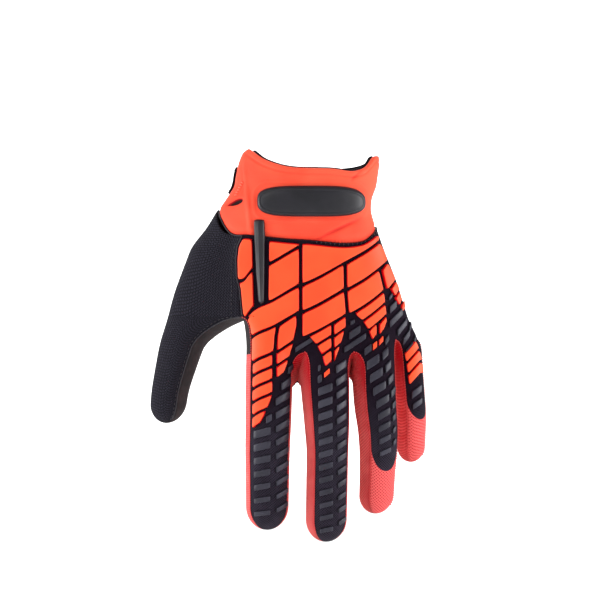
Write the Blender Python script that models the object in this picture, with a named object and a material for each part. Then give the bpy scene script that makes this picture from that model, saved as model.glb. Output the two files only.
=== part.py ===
"""Left-hand work glove with raised rubber tiles, as it lies on a hand.

Frame: metres, X to the little finger's side, Z up the forearm, the back of the
hand towards -Y. The origin is the middle of the wrist, and the fingers point down.
Every section is horizontal. A section of the hand is a rounded oval, a finger is a
tapered tube, and between them the surface passes smoothly from one to the other.
"""
import functools

import bmesh
import bpy
import numpy as np
from mathutils.bvhtree import BVHTree

# Driving sizes
HAND_LENGTH = 0.198          # wrist centre to the middle fingertip
HAND_WIDTH = 0.099           # over the knuckles
HAND_DEPTH = 0.036           # back to palm at the knuckles
PANEL_WALL = 0.0013          # mesh and leather panels
CUFF_WALL = 0.0028           # neoprene cuff
LINING_WALL = 0.001          # band inside the cuff
LINING_PEEK = 0.0006         # its top edge stands above the cuff's by this
SEAM_TRIM = 0.00017          # each panel is cut back by this at a seam
PIECE_GAP = 0.0003           # between cuff and lining
SEAT_GAP = 0.00055           # between a tile or the tongue and the faceted surface under it
TILE_HEIGHT = 0.0013         # raised orange tiles
BLOCK_HEIGHT = 0.0009        # raised dark blocks
BLOCK_SINK = 0.0012          # how deep a block is rooted in the panel
TILE_CHANNEL = 0.0022        # clear way between two tiles of the wide field
FINGER_CHANNEL = 0.0019      # clear way between two tiles on a finger
SEAM_MARGIN = 0.0017         # between the panel's left seam and the tiles beside it
BLOCK_CHANNEL = 0.0024       # clear way between two dark blocks
TILE_DRAFT = 0.0004          # a tile's top is smaller by this all round
INSET_SHARE = 0.25           # but by no more than this share of its width or height
PLATE_HEIGHT = 0.0036        # moulded bar on the cuff
TONGUE_HEIGHT = 0.0018       # tapered bar below it
TAB_WALL = 0.0018            # closure tab on the palm side
TRIM_LIFT = 0.0011           # plate and tab stand off the cuff's smooth surface by this
CROTCH_BLEND = 0.013         # the hand turns into a finger over twice this
TIP_ROUNDNESS = 1.15         # length of a fingertip's cap, in half widths
FINGER_DEPTH = 0.92          # depth of a finger tube over its width

# Shares below are percent: drops of HAND_LENGTH, x of HAND_WIDTH, depths of HAND_DEPTH
# Hand sections: drop, left x, right x, back depth, palm depth, arch at the ulnar side
HAND = (
    (-13.0, -31.0, 38.5, 62, 60, 0),
    (-9.3, -36.2, 41.8, 62, 60, 0),
    (-4.2, -38.9, 41.3, 62, 60, 0),
    (-0.8, -40.2, 40.2, 61, 60, 0),
    (2.5, -44.4, 37.9, 60, 60, 0),
    (5.2, -48.0, 37.4, 59, 61, 0),
    (12.7, -50.0, 41.8, 54, 61, 3),
    (17.8, -50.0, 45.5, 49, 61, 7),
    (24.6, -47.0, 51.0, 46, 60, 12),
    (31.4, -43.5, 55.6, 44, 57, 20),
    (36.4, -41.0, 58.8, 43, 52, 28),
    (41.6, -36.5, 62.8, 42, 45, 36),
    (46.7, -33.6, 66.2, 40, 31, 41),
    (56.0, -33.3, 68.0, 36, 18, 43),
)
HAND_CORNER = 0.8            # power of the oval: 1 is an ellipse, less is squarer

# Finger tubes: drop, centre x, half width
TUBES = {
    "thumb": ((3.0, -36.0, 19.0), (9.9, -41.0, 19.0), (19.8, -50.0, 17.5), (29.7, -59.0, 15.7),
              (36.5, -64.2, 14.2), (43.3, -69.4, 13.1), (50.1, -73.3, 11.9), (56.9, -76.6, 10.8),
              (66.3, -78.8, 10.0)),
    "index": ((43.9, -19.6, 13.6), (55.2, -20.3, 13.3), (65.4, -20.7, 13.0), (73.9, -21.2, 12.7),
              (82.4, -21.3, 12.4), (96.6, -21.6, 11.9)),
    "middle": ((43.9, 10.6, 13.9), (55.2, 11.3, 13.8), (65.4, 12.3, 12.9), (73.9, 12.7, 11.9),
               (82.4, 12.5, 11.8), (100.0, 11.9, 11.6)),
    "ring": ((43.9, 38.4, 12.0), (62.1, 40.0, 11.9), (68.2, 41.3, 11.3), (74.0, 41.6, 10.7),
             (80.8, 41.1, 10.0), (92.1, 40.2, 9.6)),
    "little": ((40.0, 57.4, 9.0), (50.0, 58.5, 8.7), (57.1, 59.7, 8.6), (64.2, 60.8, 8.5),
               (71.2, 60.8, 8.1), (77.7, 60.8, 7.6)),
}
# Fingers: tip drop, depth of the root (y), forward curl towards the palm at the tip
FINGERS = {
    "thumb": (66.2, 26, 6),
    "index": (96.6, 0, 33),
    "middle": (100.0, -3, 36),
    "ring": (92.1, 7, 36),
    "little": (77.7, 44, 28),
}
RAYS = ("index", "middle", "ring", "little")
# Seams round a tube, in degrees from the back: strip left, strip right, palm left, palm right
TUBE_SEAMS = {
    "thumb": (-110, 27, -110, -223),
    "index": (-51, 66, -135, -232),
    "middle": (-36, 70, -130, -228),
    "ring": (-24, 80, -125, -214),
    "little": (-16, 92, -143, -222),
}
# Crotches: drop on the back, drop on the palm, length of the rounded corner below it
CROTCHES = {
    "thumb_index": (35.9, 37.0, 9.0),
    "index_middle": (45.8, 54.5, 5.0),
    "middle_ring": (45.8, 53.0, 5.0),
    "ring_little": (42.4, 45.0, 5.0),
    "little_side": (42.4, 42.4, 5.0),
}
PALM_THUMB_SEAM = -34.6      # x of the seam between palm and thumb
GAPS = tuple(CROTCHES)
# Ray borders inside the hand: drop, then x of each border, on the back and on the palm
BACK_BORDERS = (
    (12.7, -8.0, 11.0, 28.0),
    (45.8, 0.0, 27.7, 52.2),
    (55.0, 0.0, 27.7, 52.2),
)
PALM_BORDERS = (
    (12.7, -11.0, 9.0, 25.0),
    (45.8, -4.4, 25.0, 48.5),
    (55.0, -4.4, 25.0, 48.5),
)
ULNAR_SEAM = 95              # degrees round the hand section
RADIAL_SEAM = -95
# Seam between cuff and hand: degrees round the section, drop
CUFF_SEAM = ((-95, 5.5), (-70, 8.4), (-52, 12.4), (-30, 13.1), (0, 14.4), (30, 15.4), (48, 14.7),
             (65, 12.8), (90, 10.6), (135, 10.1), (180, 9.1), (225, 7.1), (265, 5.5))
# Top edge of the cuff: degrees round the section, drop
CUFF_TOP = ((-95, -9.2), (-70, -11.6), (-58, -10.9), (-30, -7.8), (-12, -6.2), (15, -5.6),
            (38, -5.0), (52, -6.2), (66, -9.0), (84, -9.6), (105, -8.6), (135, -6.6), (180, -6.0),
            (225, -7.0), (265, -9.2))

# Moulded bar on the cuff: ends, edges and how far its ends are rounded
PLATE_ENDS = (-26.6, 33.0)
PLATE_EDGES = (-0.8, 7.8)
PLATE_ROUNDING = 0.55
# Tapered bar below it: its ends, then centre x and half width down its length
TONGUE_EDGES = (8.6, 32.2)
TONGUE = ((8.6, -25.6, 2.9), (13.3, -25.3, 3.0), (24.0, -24.9, 2.4), (31.5, -24.4, 1.7),
          (32.2, -24.3, 0.9))
# Closure tab round the palm side: degrees round the section, and its edges
TAB_ANGLES = (112, 268)
TAB_EDGES = (-6.5, 1.5)
# Slit at the left of the cuff: degrees round the section, drop, half length and half height
SLIT = (-66, 3.2, 3.4, 0.9)

# Lines of the tile pattern: x of a line at a drop
LINES = {
    "left_seam": ((12.4, -34.5), (16.1, -37.9), (19.5, -38.7), (24.6, -38.5), (28.0, -36.8),
                  (34.8, -35.6), (38.2, -33.9), (43.3, -32.8), (46.7, -31.1), (70.0, -31.1)),
    "tongue_left": ((12.4, -28.6), (34.0, -27.7)),
    "tongue_right": ((12.4, -20.9), (34.0, -21.5)),
    "hand_mid": ((12.4, -2.5), (42.4, -2.5)),
    "knuckle": ((14.1, 22.3), (20.4, 22.3), (28.3, 22.6), (36.8, 24.0)),
    "ulnar": ((14.1, 40.2), (21.5, 41.3), (28.3, 44.7), (36.8, 46.7), (44.0, 47.8)),
    "index_mid": ((37.3, -14.7), (41.3, -16.4), (45.2, -17.0), (70.7, -17.0)),
    "index_fan": ((38.2, -4.0), (43.8, -6.2), (49.8, -10.7), (53.7, -13.3), (70.7, -13.6)),
    "middle_fan_left": ((38.2, -0.6), (41.3, 1.7), (44.0, 6.2), (46.9, 9.0), (50.1, 10.7),
                        (52.9, 12.4), (59.4, 13.0)),
    "middle_fan_right": ((33.9, 23.5), (38.5, 23.5), (43.8, 20.4), (47.8, 17.5), (59.4, 17.0)),
    "middle_mid": ((14.1, 15.4), (59.4, 15.4)),
    "ring_fan_left": ((32.5, 25.5), (35.4, 28.3), (36.9, 31.7), (39.7, 35.1), (42.7, 37.3),
                      (45.5, 39.6), (50.9, 40.7)),
    "ring_fan_right": ((33.9, 46.7), (37.0, 46.4), (40.7, 44.1), (43.8, 42.4), (50.9, 41.9)),
    "ring_mid": ((14.1, 40.9), (59.4, 40.9)),
    "little_fan": ((25.5, 46.1), (27.7, 46.9), (29.7, 48.8), (32.1, 51.0), (33.9, 53.4),
                   (39.6, 57.2), (48.1, 58.8), (70.0, 61.0)),
    "index_in": ((45.0, -28.4), (95.0, -28.0)),
    "index_out": ((45.0, -9.2), (95.0, -9.4)),
    "middle_in": ((45.0, 9.4), (95.0, 8.4)),
    "middle_split": ((45.0, 17.4), (95.0, 17.4)),
    "middle_out": ((45.0, 23.6), (95.0, 23.2)),
    "ring_in": ((44.0, 34.4), (50.0, 36.2), (60.0, 38.6), (72.0, 41.8)),
    "ring_split": ((44.0, 43.4), (60.0, 44.8), (72.0, 47.4)),
    "ring_out": ((44.0, 48.8), (60.0, 50.4), (72.0, 51.0)),
    "little_in": ((42.0, 54.6), (50.0, 57.2), (62.0, 60.2)),
    "outline": ((14.4, 40.4), (17.8, 43.7), (21.2, 46.0), (24.6, 49.4), (28.0, 52.2),
                (31.4, 53.9), (34.8, 56.2), (38.2, 59.0), (41.6, 61.3), (45.0, 64.0),
                (48.4, 65.7), (53.5, 66.8), (59.4, 67.4), (70.0, 67.4)),
}
# Sweep that all slanted channels share: x, drop from the channel's own offset
SWEEP = ((-37.9, 2.8), (-34.5, 2.4), (-29.4, 0.0), (-18.1, -2.7), (-2.8, -6.8), (6.2, -8.8),
         (22.6, -13.2), (35.1, -16.7), (45.6, -20.6), (53.7, -24.3), (65.0, -30.0))
# Offsets of the slanted channels down the hand, 0 being the cuff seam
CHANNELS = (None, 23.0, 33.8, 41.4, 48.8, 52.5, 56.2, 60.0, 63.8, 67.5)
# Orange tiles: name, left line, right line, channel above, channel below
TILES = (
    ("wrist_1", "left_seam", "tongue_left", 0, 1),
    ("wrist_2", "tongue_right", "hand_mid", 0, 1),
    ("wrist_3", "hand_mid", "outline", 0, 2),
    ("hand_1", "left_seam", "tongue_left", 1, 2),
    ("hand_2", "tongue_right", "hand_mid", 1, 2),
    ("hand_3", "left_seam", "hand_mid", 2, 3),
    ("hand_4", "hand_mid", "knuckle", 2, 3),
    ("hand_5", "knuckle", "outline", 2, 3),
    ("hand_6", "left_seam", "index_mid", 3, 4),
    ("hand_7", "index_mid", "index_fan", 3, 4),
    ("hand_8", "hand_mid", "knuckle", 3, 4),
    ("hand_9", "knuckle", "ulnar", 3, 4),
    ("hand_10", "ulnar", "outline", 3, 4),
    ("index_1", "left_seam", "index_mid", 4, 5),
    ("index_2", "left_seam", "index_mid", 5, 6),
    ("index_3", "left_seam", "index_mid", 6, 7),
    ("index_4", "left_seam", "index_mid", 7, 8),
    ("index_5", "left_seam", "index_mid", 8, 9),
    ("index_6", "index_mid", "index_fan", 4, 5),
    ("index_7", "index_mid", "index_fan", 5, 6),
    ("middle_1", "middle_fan_left", "middle_mid", 4, 5),
    ("middle_2", "middle_fan_left", "middle_mid", 5, 6),
    ("middle_3", "middle_fan_left", "middle_mid", 6, 7),
    ("middle_4", "middle_mid", "middle_fan_right", 4, 5),
    ("middle_5", "middle_mid", "middle_fan_right", 5, 6),
    ("middle_6", "middle_mid", "middle_fan_right", 6, 7),
    ("ring_1", "ring_fan_left", "ulnar", 4, 5),
    ("ring_2", "ring_fan_left", "ulnar", 5, 6),
    ("ring_3", "ring_fan_left", "ring_mid", 6, 7),
    ("ring_4", "ring_mid", "ring_fan_right", 6, 7),
    ("little_1", "little_fan", "outline", 4, 5),
    ("little_2", "little_fan", "outline", 5, 6),
    ("little_3", "little_in", "outline", 10, 11),
    ("little_4", "little_in", "outline", 11, 12),
    ("little_5", "little_in", "outline", 12, 13),
)
# Dark raised blocks: left line, right line, first channel, last channel
BLOCKS = (
    ("index_in", "index_mid", 9, 16),
    ("index_mid", "index_out", 7.5, 15.5),
    ("middle_in", "middle_split", 8, 19),
    ("middle_split", "middle_out", 8, 18),
    ("ring_in", "ring_split", 8, 15),
    ("ring_split", "ring_out", 8, 16),
    ("little_in", "outline", 8, 10),
    ("little_in", "outline", 13, 15),
    ("knuckle", "ring_fan_left", 4, 6),
    ("ulnar", "little_fan", 5, 7),
)

# Grid densities
STRIP_COLUMNS = 5
PALM_COLUMNS = 3
THUMB_COLUMNS = 7
THUMB_PALM_COLUMNS = 4
SIDE_COLUMNS = 3
HAND_ROWS = np.array([0, 0.12, 0.3, 0.5, 0.68, 0.84, 1.0])
FINGER_ROWS = np.array([0.0, 0.018, 0.05, 0.1, 0.2, 0.34, 0.5, 0.66, 0.8, 0.865, 0.93, 1.0])
CAP_START = 0.8              # the tube runs to this share of the rows, then the cap begins
CAP_TURN = np.radians(77)    # how far the cap turns before its closing disc
CUFF_ROWS = np.array([0, 0.3, 0.62, 1.0])
LINING_ROWS = 3              # the lining covers the cuff's first rows


def smooth(table, at):
    """Read a table's columns at some places: cubic pieces through the rows."""
    rows = np.asarray(table, float)
    places, values = rows[:, 0], rows[:, 1:]
    slopes = np.gradient(values, places, axis=0)
    at = np.clip(at, places[0], places[-1])
    k = np.clip(np.searchsorted(places, at, side="right") - 1, 0, len(places) - 2)
    step = places[k + 1] - places[k]
    t = ((at - places[k]) / step)[..., None]
    step = step[..., None]
    return ((2 * t**3 - 3 * t**2 + 1) * values[k] + (t**3 - 2 * t**2 + t) * step * slopes[k]
            + (3 * t**2 - 2 * t**3) * values[k + 1] + (t**3 - t**2) * step * slopes[k + 1])


def line(table, at):
    """Read a two-column table with straight pieces."""
    rows = np.asarray(table, float)
    return np.interp(at, rows[:, 0], rows[:, 1])


def step(t):
    """Smooth step from 0 to 1."""
    t = np.clip(t, 0, 1)
    return t * t * (3 - 2 * t)


def mix(a, b, t):
    return a + (b - a) * t


def signed_power(value, power):
    return np.sign(value) * np.abs(value) ** power


def oval(drop):
    """Middle, half width, back depth, palm depth and arch of the hand's section."""
    left, right, back, palm, arch = np.moveaxis(smooth(HAND, drop / HAND_LENGTH * 100), -1, 0) / 100
    middle = (left + right) / 2 * HAND_WIDTH
    half = (right - left) / 2 * HAND_WIDTH
    return middle, half, back * HAND_DEPTH, palm * HAND_DEPTH, arch * HAND_DEPTH


def hand(angle, drop):
    """Point of the hand at an angle (degrees from the back, to the ulnar side) and a drop."""
    angle, drop = np.broadcast_arrays(np.radians(angle), np.asarray(drop, float))
    middle, half, back, palm, arch = oval(drop)
    across = signed_power(np.sin(angle), HAND_CORNER)
    depth = np.where(np.cos(angle) > 0, back, palm)
    y = -depth * signed_power(np.cos(angle), HAND_CORNER) + arch * (1 + across) / 2
    return np.stack([middle + half * across, y, -drop], -1)


def hand_angle(x, drop, palm=False):
    """Angle at which the hand's section has this x, on the back or on the palm."""
    middle, half = oval(drop)[:2]
    across = np.clip((x - middle) / half, -1, 1)
    angle = np.degrees(np.arcsin(signed_power(across, 1 / HAND_CORNER)))
    return -180 - angle if palm else angle


def tube(finger, angle, drop, scale):
    """Point of a finger tube; scale is under 1 on the fingertip's cap."""
    angle, drop, scale = np.broadcast_arrays(np.radians(angle), drop, scale)
    centre, half = np.moveaxis(smooth(TUBES[finger], drop / HAND_LENGTH * 100), -1, 0) / 100
    tip, root, curl = FINGERS[finger]
    start = TUBES[finger][0][0]
    along = np.clip((drop / HAND_LENGTH * 100 - start) / (tip - start), 0, 1)
    x = centre * HAND_WIDTH + half * HAND_WIDTH * scale * np.sin(angle)
    y = ((root + curl * along**2) / 100 * HAND_DEPTH
         - half * HAND_WIDTH * FINGER_DEPTH * scale * np.cos(angle))
    return np.stack([x, y, -drop], -1)


def cap(finger):
    """Drop where a fingertip's cap starts, and the cap's length."""
    tip = FINGERS[finger][0] / 100 * HAND_LENGTH
    half = smooth(TUBES[finger], np.array(FINGERS[finger][0]))[1] / 100 * HAND_WIDTH
    length = half * TIP_ROUNDNESS
    return tip - length, length


def crotch(gap, palm):
    """Drop of a crotch on the back or the palm."""
    return CROTCHES[gap][1 if palm else 0] / 100 * HAND_LENGTH


def borders(ray, drop, palm):
    """Angles round the hand of a ray's left and right border at a drop."""
    share = drop / HAND_LENGTH * 100
    if ray == "thumb":
        inner = line(LINES["left_seam"], share) if not palm else PALM_THUMB_SEAM
        return (np.full_like(drop, RADIAL_SEAM, dtype=float),
                hand_angle(inner / 100 * HAND_WIDTH, drop, palm))
    place = RAYS.index(ray)
    xs = smooth(PALM_BORDERS if palm else BACK_BORDERS, share) / 100 * HAND_WIDTH
    ulnar = np.full_like(drop, ULNAR_SEAM - 360.0 if palm else ULNAR_SEAM, dtype=float)
    sides = [hand_angle(xs[..., k], drop, palm) for k in range(3)] + [ulnar]
    first = borders("thumb", drop, palm)[1]
    return ([first] + sides)[place], sides[place]


def seam_drop(angle):
    """Drop of the seam between cuff and hand."""
    angle = np.where(angle < -95, angle + 360, angle)
    return smooth(CUFF_SEAM, angle)[..., 0] / 100 * HAND_LENGTH


def top_drop(angle):
    """Drop of the cuff's top edge."""
    angle = np.where(angle < -95, angle + 360, angle)
    return smooth(CUFF_TOP, angle)[..., 0] / 100 * HAND_LENGTH


def gaps_of(ray):
    """The gaps at the left and right of a ray; the thumb has none at its left."""
    if ray == "thumb":
        return None, "thumb_index"
    place = RAYS.index(ray)
    return GAPS[place], GAPS[place + 1]


def finger_weight(ray, u, drop, palm):
    """Share of the finger tube in the surface, 0 on the hand and 1 down the finger.

    Inside a ray it is a smooth step about the crotch. At a border it starts at the
    crotch itself, as a quarter circle, which rounds the crotch into a U."""
    left, right = gaps_of(ray)
    if ray == "thumb":
        inner = step((drop / HAND_LENGTH - 0.025) / 0.15)
    else:
        middle = mix(crotch(left, palm), crotch(right, palm), u)
        inner = step((drop - middle + CROTCH_BLEND) / (2 * CROTCH_BLEND))
    at_left = (1 - u) ** 6 if left else 0 * u
    at_right = u ** 6
    left_edge = corner(left, drop, palm) if left else 0
    right_edge = corner(right, drop, palm)
    return inner * (1 - at_left - at_right) + left_edge * at_left + right_edge * at_right


def corner(gap, drop, palm):
    """Rise from 0 at a crotch to 1 at the end of its rounded corner: a quarter circle
    on the back, and a parabola on the palm, where the fold is softer."""
    reach = CROTCHES[gap][2] / 100 * HAND_LENGTH
    t = np.clip((drop - crotch(gap, palm)) / reach, 0, 1)
    rise = 1 - (1 - t) ** 2
    return rise if palm else np.sqrt(rise)


def ray_point(ray, u, drop, scale=1.0, palm=False):
    """Point of the back or palm surface at share u across a ray."""
    first, last = borders(ray, drop, palm)
    left, right = TUBE_SEAMS[ray][2:] if palm else TUBE_SEAMS[ray][:2]
    on_hand = hand(mix(first, last, u), drop)
    on_tube = tube(ray, mix(left, right, u), drop, scale)
    return mix(on_hand, on_tube, finger_weight(ray, u, drop, palm)[..., None])


def root_drop(ray, u, palm):
    """Drop of the row where a ray's finger begins."""
    left, right = gaps_of(ray)
    start = crotch(left or right, False if not left else palm)
    return mix(start, crotch(right, palm), u)


def hand_patch(ray, columns, palm):
    """Grid of a ray from the cuff seam to the root of its finger."""
    u = np.linspace(0, 1, columns + 1)[None]
    rows = HAND_ROWS[:, None]
    end = root_drop(ray, u, palm)
    start = end * 0
    for _ in range(6):
        first, last = borders(ray, start, palm)
        start = seam_drop(mix(first, last, u))
    drop = mix(start, end, rows)
    return ray_point(ray, u, drop, 1.0, palm)


def finger_rows(ray, start):
    """Drops and cap scales down a finger from a starting drop."""
    rows = FINGER_ROWS[:, None]
    cap_start, length = cap(ray)
    turn = CAP_TURN * np.clip((rows - CAP_START) / (1 - CAP_START), 0, 1)
    straight = np.clip(rows / CAP_START, 0, 1)
    drop = mix(start, cap_start, straight) + length * np.sin(turn)
    return drop, np.cos(turn) + 0 * start


def finger_patch(ray, columns, palm):
    """Grid of a ray from the root of its finger to the end of the tube's cap."""
    u = np.linspace(0, 1, columns + 1)[None]
    drop, scale = finger_rows(ray, root_drop(ray, u, palm))
    return ray_point(ray, u, drop, scale, palm)


def side_half(ray, at_right):
    """One side of a finger, from the back seam (column 0) to the palm seam.

    The tube's arc is shifted at its ends to meet both seams, and at the crotch it
    turns into the straight line between them."""
    w = np.linspace(0, 1, SIDE_COLUMNS + 1)[None]
    u = np.array([[1.0 if at_right else 0.0]])
    back_drop, scale = finger_rows(ray, root_drop(ray, u, False))
    palm_drop = finger_rows(ray, root_drop(ray, u, True))[0]
    back = ray_point(ray, u, back_drop, scale, False)
    palm = ray_point(ray, u, palm_drop, scale, True)
    seams = TUBE_SEAMS[ray]
    start, end = (seams[1], seams[3] + 360) if at_right else (seams[0], seams[2])
    arc = tube(ray, mix(start, end, w), mix(back_drop, palm_drop, w), scale)
    shift = mix(back - arc[:, :1], palm - arc[:, -1:], w[..., None])
    gap = gaps_of(ray)[1 if at_right else 0]
    share = corner(gap, back_drop, False)[..., None]
    return mix(mix(back, palm, w[..., None]), arc + shift, share)


def strip(left_ray, right_ray):
    """Side strip from one fingertip over the crotch to the next fingertip."""
    left = side_half(left_ray, True)[::-1]
    right = side_half(right_ray, False)
    right[0] = left[-1]
    return np.concatenate([left, right[1:]])


def key(point):
    """Key under which points closer than a micrometre are one; the shift keeps round
    values away from a step of the rounding."""
    return tuple(np.floor(np.asarray(point) * 1e6 + 0.3717).astype(int))


def unit(vector):
    return vector / np.linalg.norm(vector)


class Skin:
    """All outer patches of the glove, with one shared normal at each point."""

    def __init__(self):
        self.normals = {}

    def add(self, points, faces):
        for face in faces:
            corners = [points[k] for k in face]
            centre = sum(corners) / len(corners)
            normal = unit(sum(np.cross(corners[k - 1] - centre, corners[k] - centre)
                              for k in range(len(corners))))
            for k, corner_point in enumerate(corners):
                before = unit(corners[k - 1] - corner_point)
                after = unit(corners[(k + 1) % len(corners)] - corner_point)
                spread = np.arccos(np.clip(before @ after, -1, 1))
                place = key(corner_point)
                self.normals[place] = self.normals.get(place, 0) + normal * spread

    def normal(self, point):
        return unit(self.normals[key(point)])


def weld(patches, closings=()):
    """Join grids, each with a flip flag, and fans that close a fingertip."""
    points, faces, index = [], [], {}

    def place(point):
        if key(point) not in index:
            index[key(point)] = len(points)
            points.append(point)
        return index[key(point)]

    for grid, flip in patches:
        ids = [[place(point) for point in row] for row in grid]
        for upper, lower in zip(ids, ids[1:]):
            for k in range(len(upper) - 1):
                face = [upper[k], lower[k], lower[k + 1], upper[k + 1]]
                face = list(dict.fromkeys(face))
                if len(face) > 2:
                    faces.append(face[::-1] if flip else face)
    for ring, pole in closings:
        ids = [place(point) for point in ring]
        end = place(pole)
        for k, first in enumerate(ids):
            second = ids[(k + 1) % len(ids)]
            if first != second:
                faces.append([first, end, second])
    return points, faces


def shell(name, skin, patches, wall, finish, closings=()):
    """Closed wall: the outer surface cut back at its seams, an inner one and rims."""
    points, faces = weld(patches, closings)
    count = {}
    for face in faces:
        for k in range(len(face)):
            edge = (face[k - 1], face[k])
            count[edge] = count.get(edge, 0) + 1
    rim = [edge for edge in count if edge[::-1] not in count]
    inward = {k: 0 for edge in rim for k in edge}
    along = dict(inward)
    for a, b in rim:
        along[a] = along[a] + points[b] - points[a]
        along[b] = along[b] + points[b] - points[a]
    for face in faces:
        centre = sum(points[k] for k in face) / len(face)
        for k in face:
            if k in inward:
                inward[k] = inward[k] + centre - points[k]
    outer = list(points)
    for k, aim in inward.items():
        normal = skin.normal(points[k])
        side = np.cross(normal, along[k])
        side = side if side @ aim > 0 else -side
        outer[k] = points[k] + side / np.linalg.norm(side) * SEAM_TRIM
    inner = [outer[k] - skin.normal(points[k]) * wall for k in range(len(points))]
    total = len(points)
    closed = [list(face) for face in faces]
    closed += [[k + total for k in face[::-1]] for face in faces]
    closed += [[b, a, a + total, b + total] for a, b in rim]
    return add_object(name, outer + inner, closed, finish)


def add_object(name, points, faces, finish):
    """A mesh object of triangles with one material."""
    mesh = bpy.data.meshes.new(name)
    mesh.from_pydata([tuple(point) for point in points], [], faces)
    work = bmesh.new()
    work.from_mesh(mesh)
    bmesh.ops.triangulate(work, faces=work.faces[:])
    bmesh.ops.recalc_face_normals(work, faces=work.faces[:])
    work.to_mesh(mesh)
    work.free()
    mesh.shade_smooth()
    mesh.set_sharp_from_angle(angle=np.radians(40))
    mesh.materials.append(finish)
    thing = bpy.data.objects.new(name, mesh)
    bpy.context.scene.collection.objects.link(thing)
    return thing


def material(name, colour, roughness):
    """Principled material of one colour."""
    made = bpy.data.materials.new(name)
    made.use_nodes = True
    shader = made.node_tree.nodes["Principled BSDF"]
    shader.inputs["Base Color"].default_value = (*colour, 1)
    shader.inputs["Roughness"].default_value = roughness
    shader.inputs["Metallic"].default_value = 0
    made.diffuse_color = (*colour, 1)
    return made


@functools.lru_cache
def back_tree():
    """Search tree of the meshed surface seen from the front: cuff, thumb and back."""
    grids = [patch("thumb", THUMB_COLUMNS, False) for patch in (hand_patch, finger_patch)]
    grids += [patch(ray, STRIP_COLUMNS, False) for ray in RAYS for patch in (hand_patch, finger_patch)]
    top = np.concatenate([grids[0][0]] + [grid[0][1:] for grid in grids[2::2]])
    grids.append(cuff_grid(top))
    points, faces = weld([(grid, False) for grid in grids])
    return BVHTree.FromPolygons([tuple(point) for point in points], faces)


def smooth_front(x, drop):
    """Points of the back surface's formula at places x and drop, seen from the front, read
    between the columns of its grid."""
    x, drop = np.broadcast_arrays(x, drop)
    places, depths = [], []
    u = np.linspace(0, 1, STRIP_COLUMNS + 1)[None]
    column = drop.reshape(-1, 1)
    for ray in ("thumb",) + RAYS:
        points = ray_point(ray, u + 0 * column, column + 0 * u)
        places.append(points[..., 0])
        depths.append(points[..., 1])
    places = np.concatenate(places, 1)
    depths = np.concatenate(depths, 1)
    y = [np.interp(at, xs[order], ys[order]) for at, xs, ys, order in
         zip(x.reshape(-1), places, depths, np.argsort(places, axis=1))]
    return np.stack([x, np.reshape(y, x.shape), -drop], -1)


def front(x, drop):
    """Points on the back surface at places x and drop: on its formula, or on the coarser
    mesh where that stands further out."""
    points = smooth_front(x, drop)
    tree = back_tree()
    before = -2 * HAND_DEPTH
    for place in np.ndindex(points.shape[:-1]):
        px, py, pz = points[place]
        hit = tree.ray_cast((px, before, pz), (0, 1, 0))[0]
        if hit:
            points[place][1] = min(py, hit.y)
    return points


def front_normal(x, drop):
    """Outward normal of the back surface, from its slopes over 2 mm."""
    reach = 0.001
    slope_x = smooth_front(x + reach, drop) - smooth_front(x - reach, drop)
    slope_z = smooth_front(x, drop - reach) - smooth_front(x, drop + reach)
    slope_x = np.clip(slope_x[..., 1] / (2 * reach), -1.6, 1.6)
    slope_z = slope_z[..., 1] / (2 * reach)
    normal = np.stack([slope_x, -1 + 0 * slope_x, slope_z], -1)
    return normal / np.linalg.norm(normal, axis=-1, keepdims=True)


def channel(number, x):
    """Drop of a slanted channel's middle at x; number 0 is the cuff seam."""
    if number == 0:
        return seam_drop(hand_angle(x, 0 * x + 0.14 * HAND_LENGTH))
    base, extra = int(number), number - int(number)
    if base >= len(CHANNELS) - 1:
        pitch = CHANNELS[-1] - CHANNELS[-2]
        offset = CHANNELS[-1] + (number - len(CHANNELS) + 1) * pitch
    elif base:
        offset = mix(CHANNELS[base], CHANNELS[base + 1], extra)
    else:
        offset = CHANNELS[1]
    return (offset + smooth(SWEEP, x / HAND_WIDTH * 100)[..., 0]) / 100 * HAND_LENGTH


def cell(left, right, top, bottom, shape, inset):
    """Grid of places between two side functions x(drop) and two channels drop(x)."""
    v, u = np.meshgrid(np.linspace(0, 1, shape[1]), np.linspace(0, 1, shape[0]), indexing="ij")
    middle = (left(np.array(0.06)) + right(np.array(0.06))) / 2
    drop = (top(middle) + bottom(middle)) / 2 + 0 * u
    for _ in range(12):
        first, last = left(drop), right(drop)
        aside = np.clip(INSET_SHARE * (last - first), 0, inset)
        x = mix(first + aside, last - aside, u)
        above, below = top(x), bottom(x)
        aside = np.clip(INSET_SHARE * (below - above), 0, inset)
        drop = mix(above + aside, below - aside, v)
    return x, drop


def panel_edge(shift):
    """Function giving x of the back panel's left edge at a drop."""
    return lambda drop: ray_point("index", 0 * drop, drop)[..., 0] + shift


def side_line(name, shift=0.0):
    """Function giving x of a pattern line at a drop."""
    return lambda drop: line(LINES[name], drop / HAND_LENGTH * 100) / 100 * HAND_WIDTH + shift


def channel_line(number, shift=0.0):
    """Function giving the drop of a slanted channel at x."""
    return lambda x: channel(number, x) + shift


def slab(name, places, inner_places, low, high, finish):
    """Closed block on the back surface between two heights, the top a little smaller."""
    bottom = front(*places) + front_normal(*places) * low
    top = front(*inner_places) + front_normal(*inner_places) * high
    return block(name, bottom, top, finish)


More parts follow.
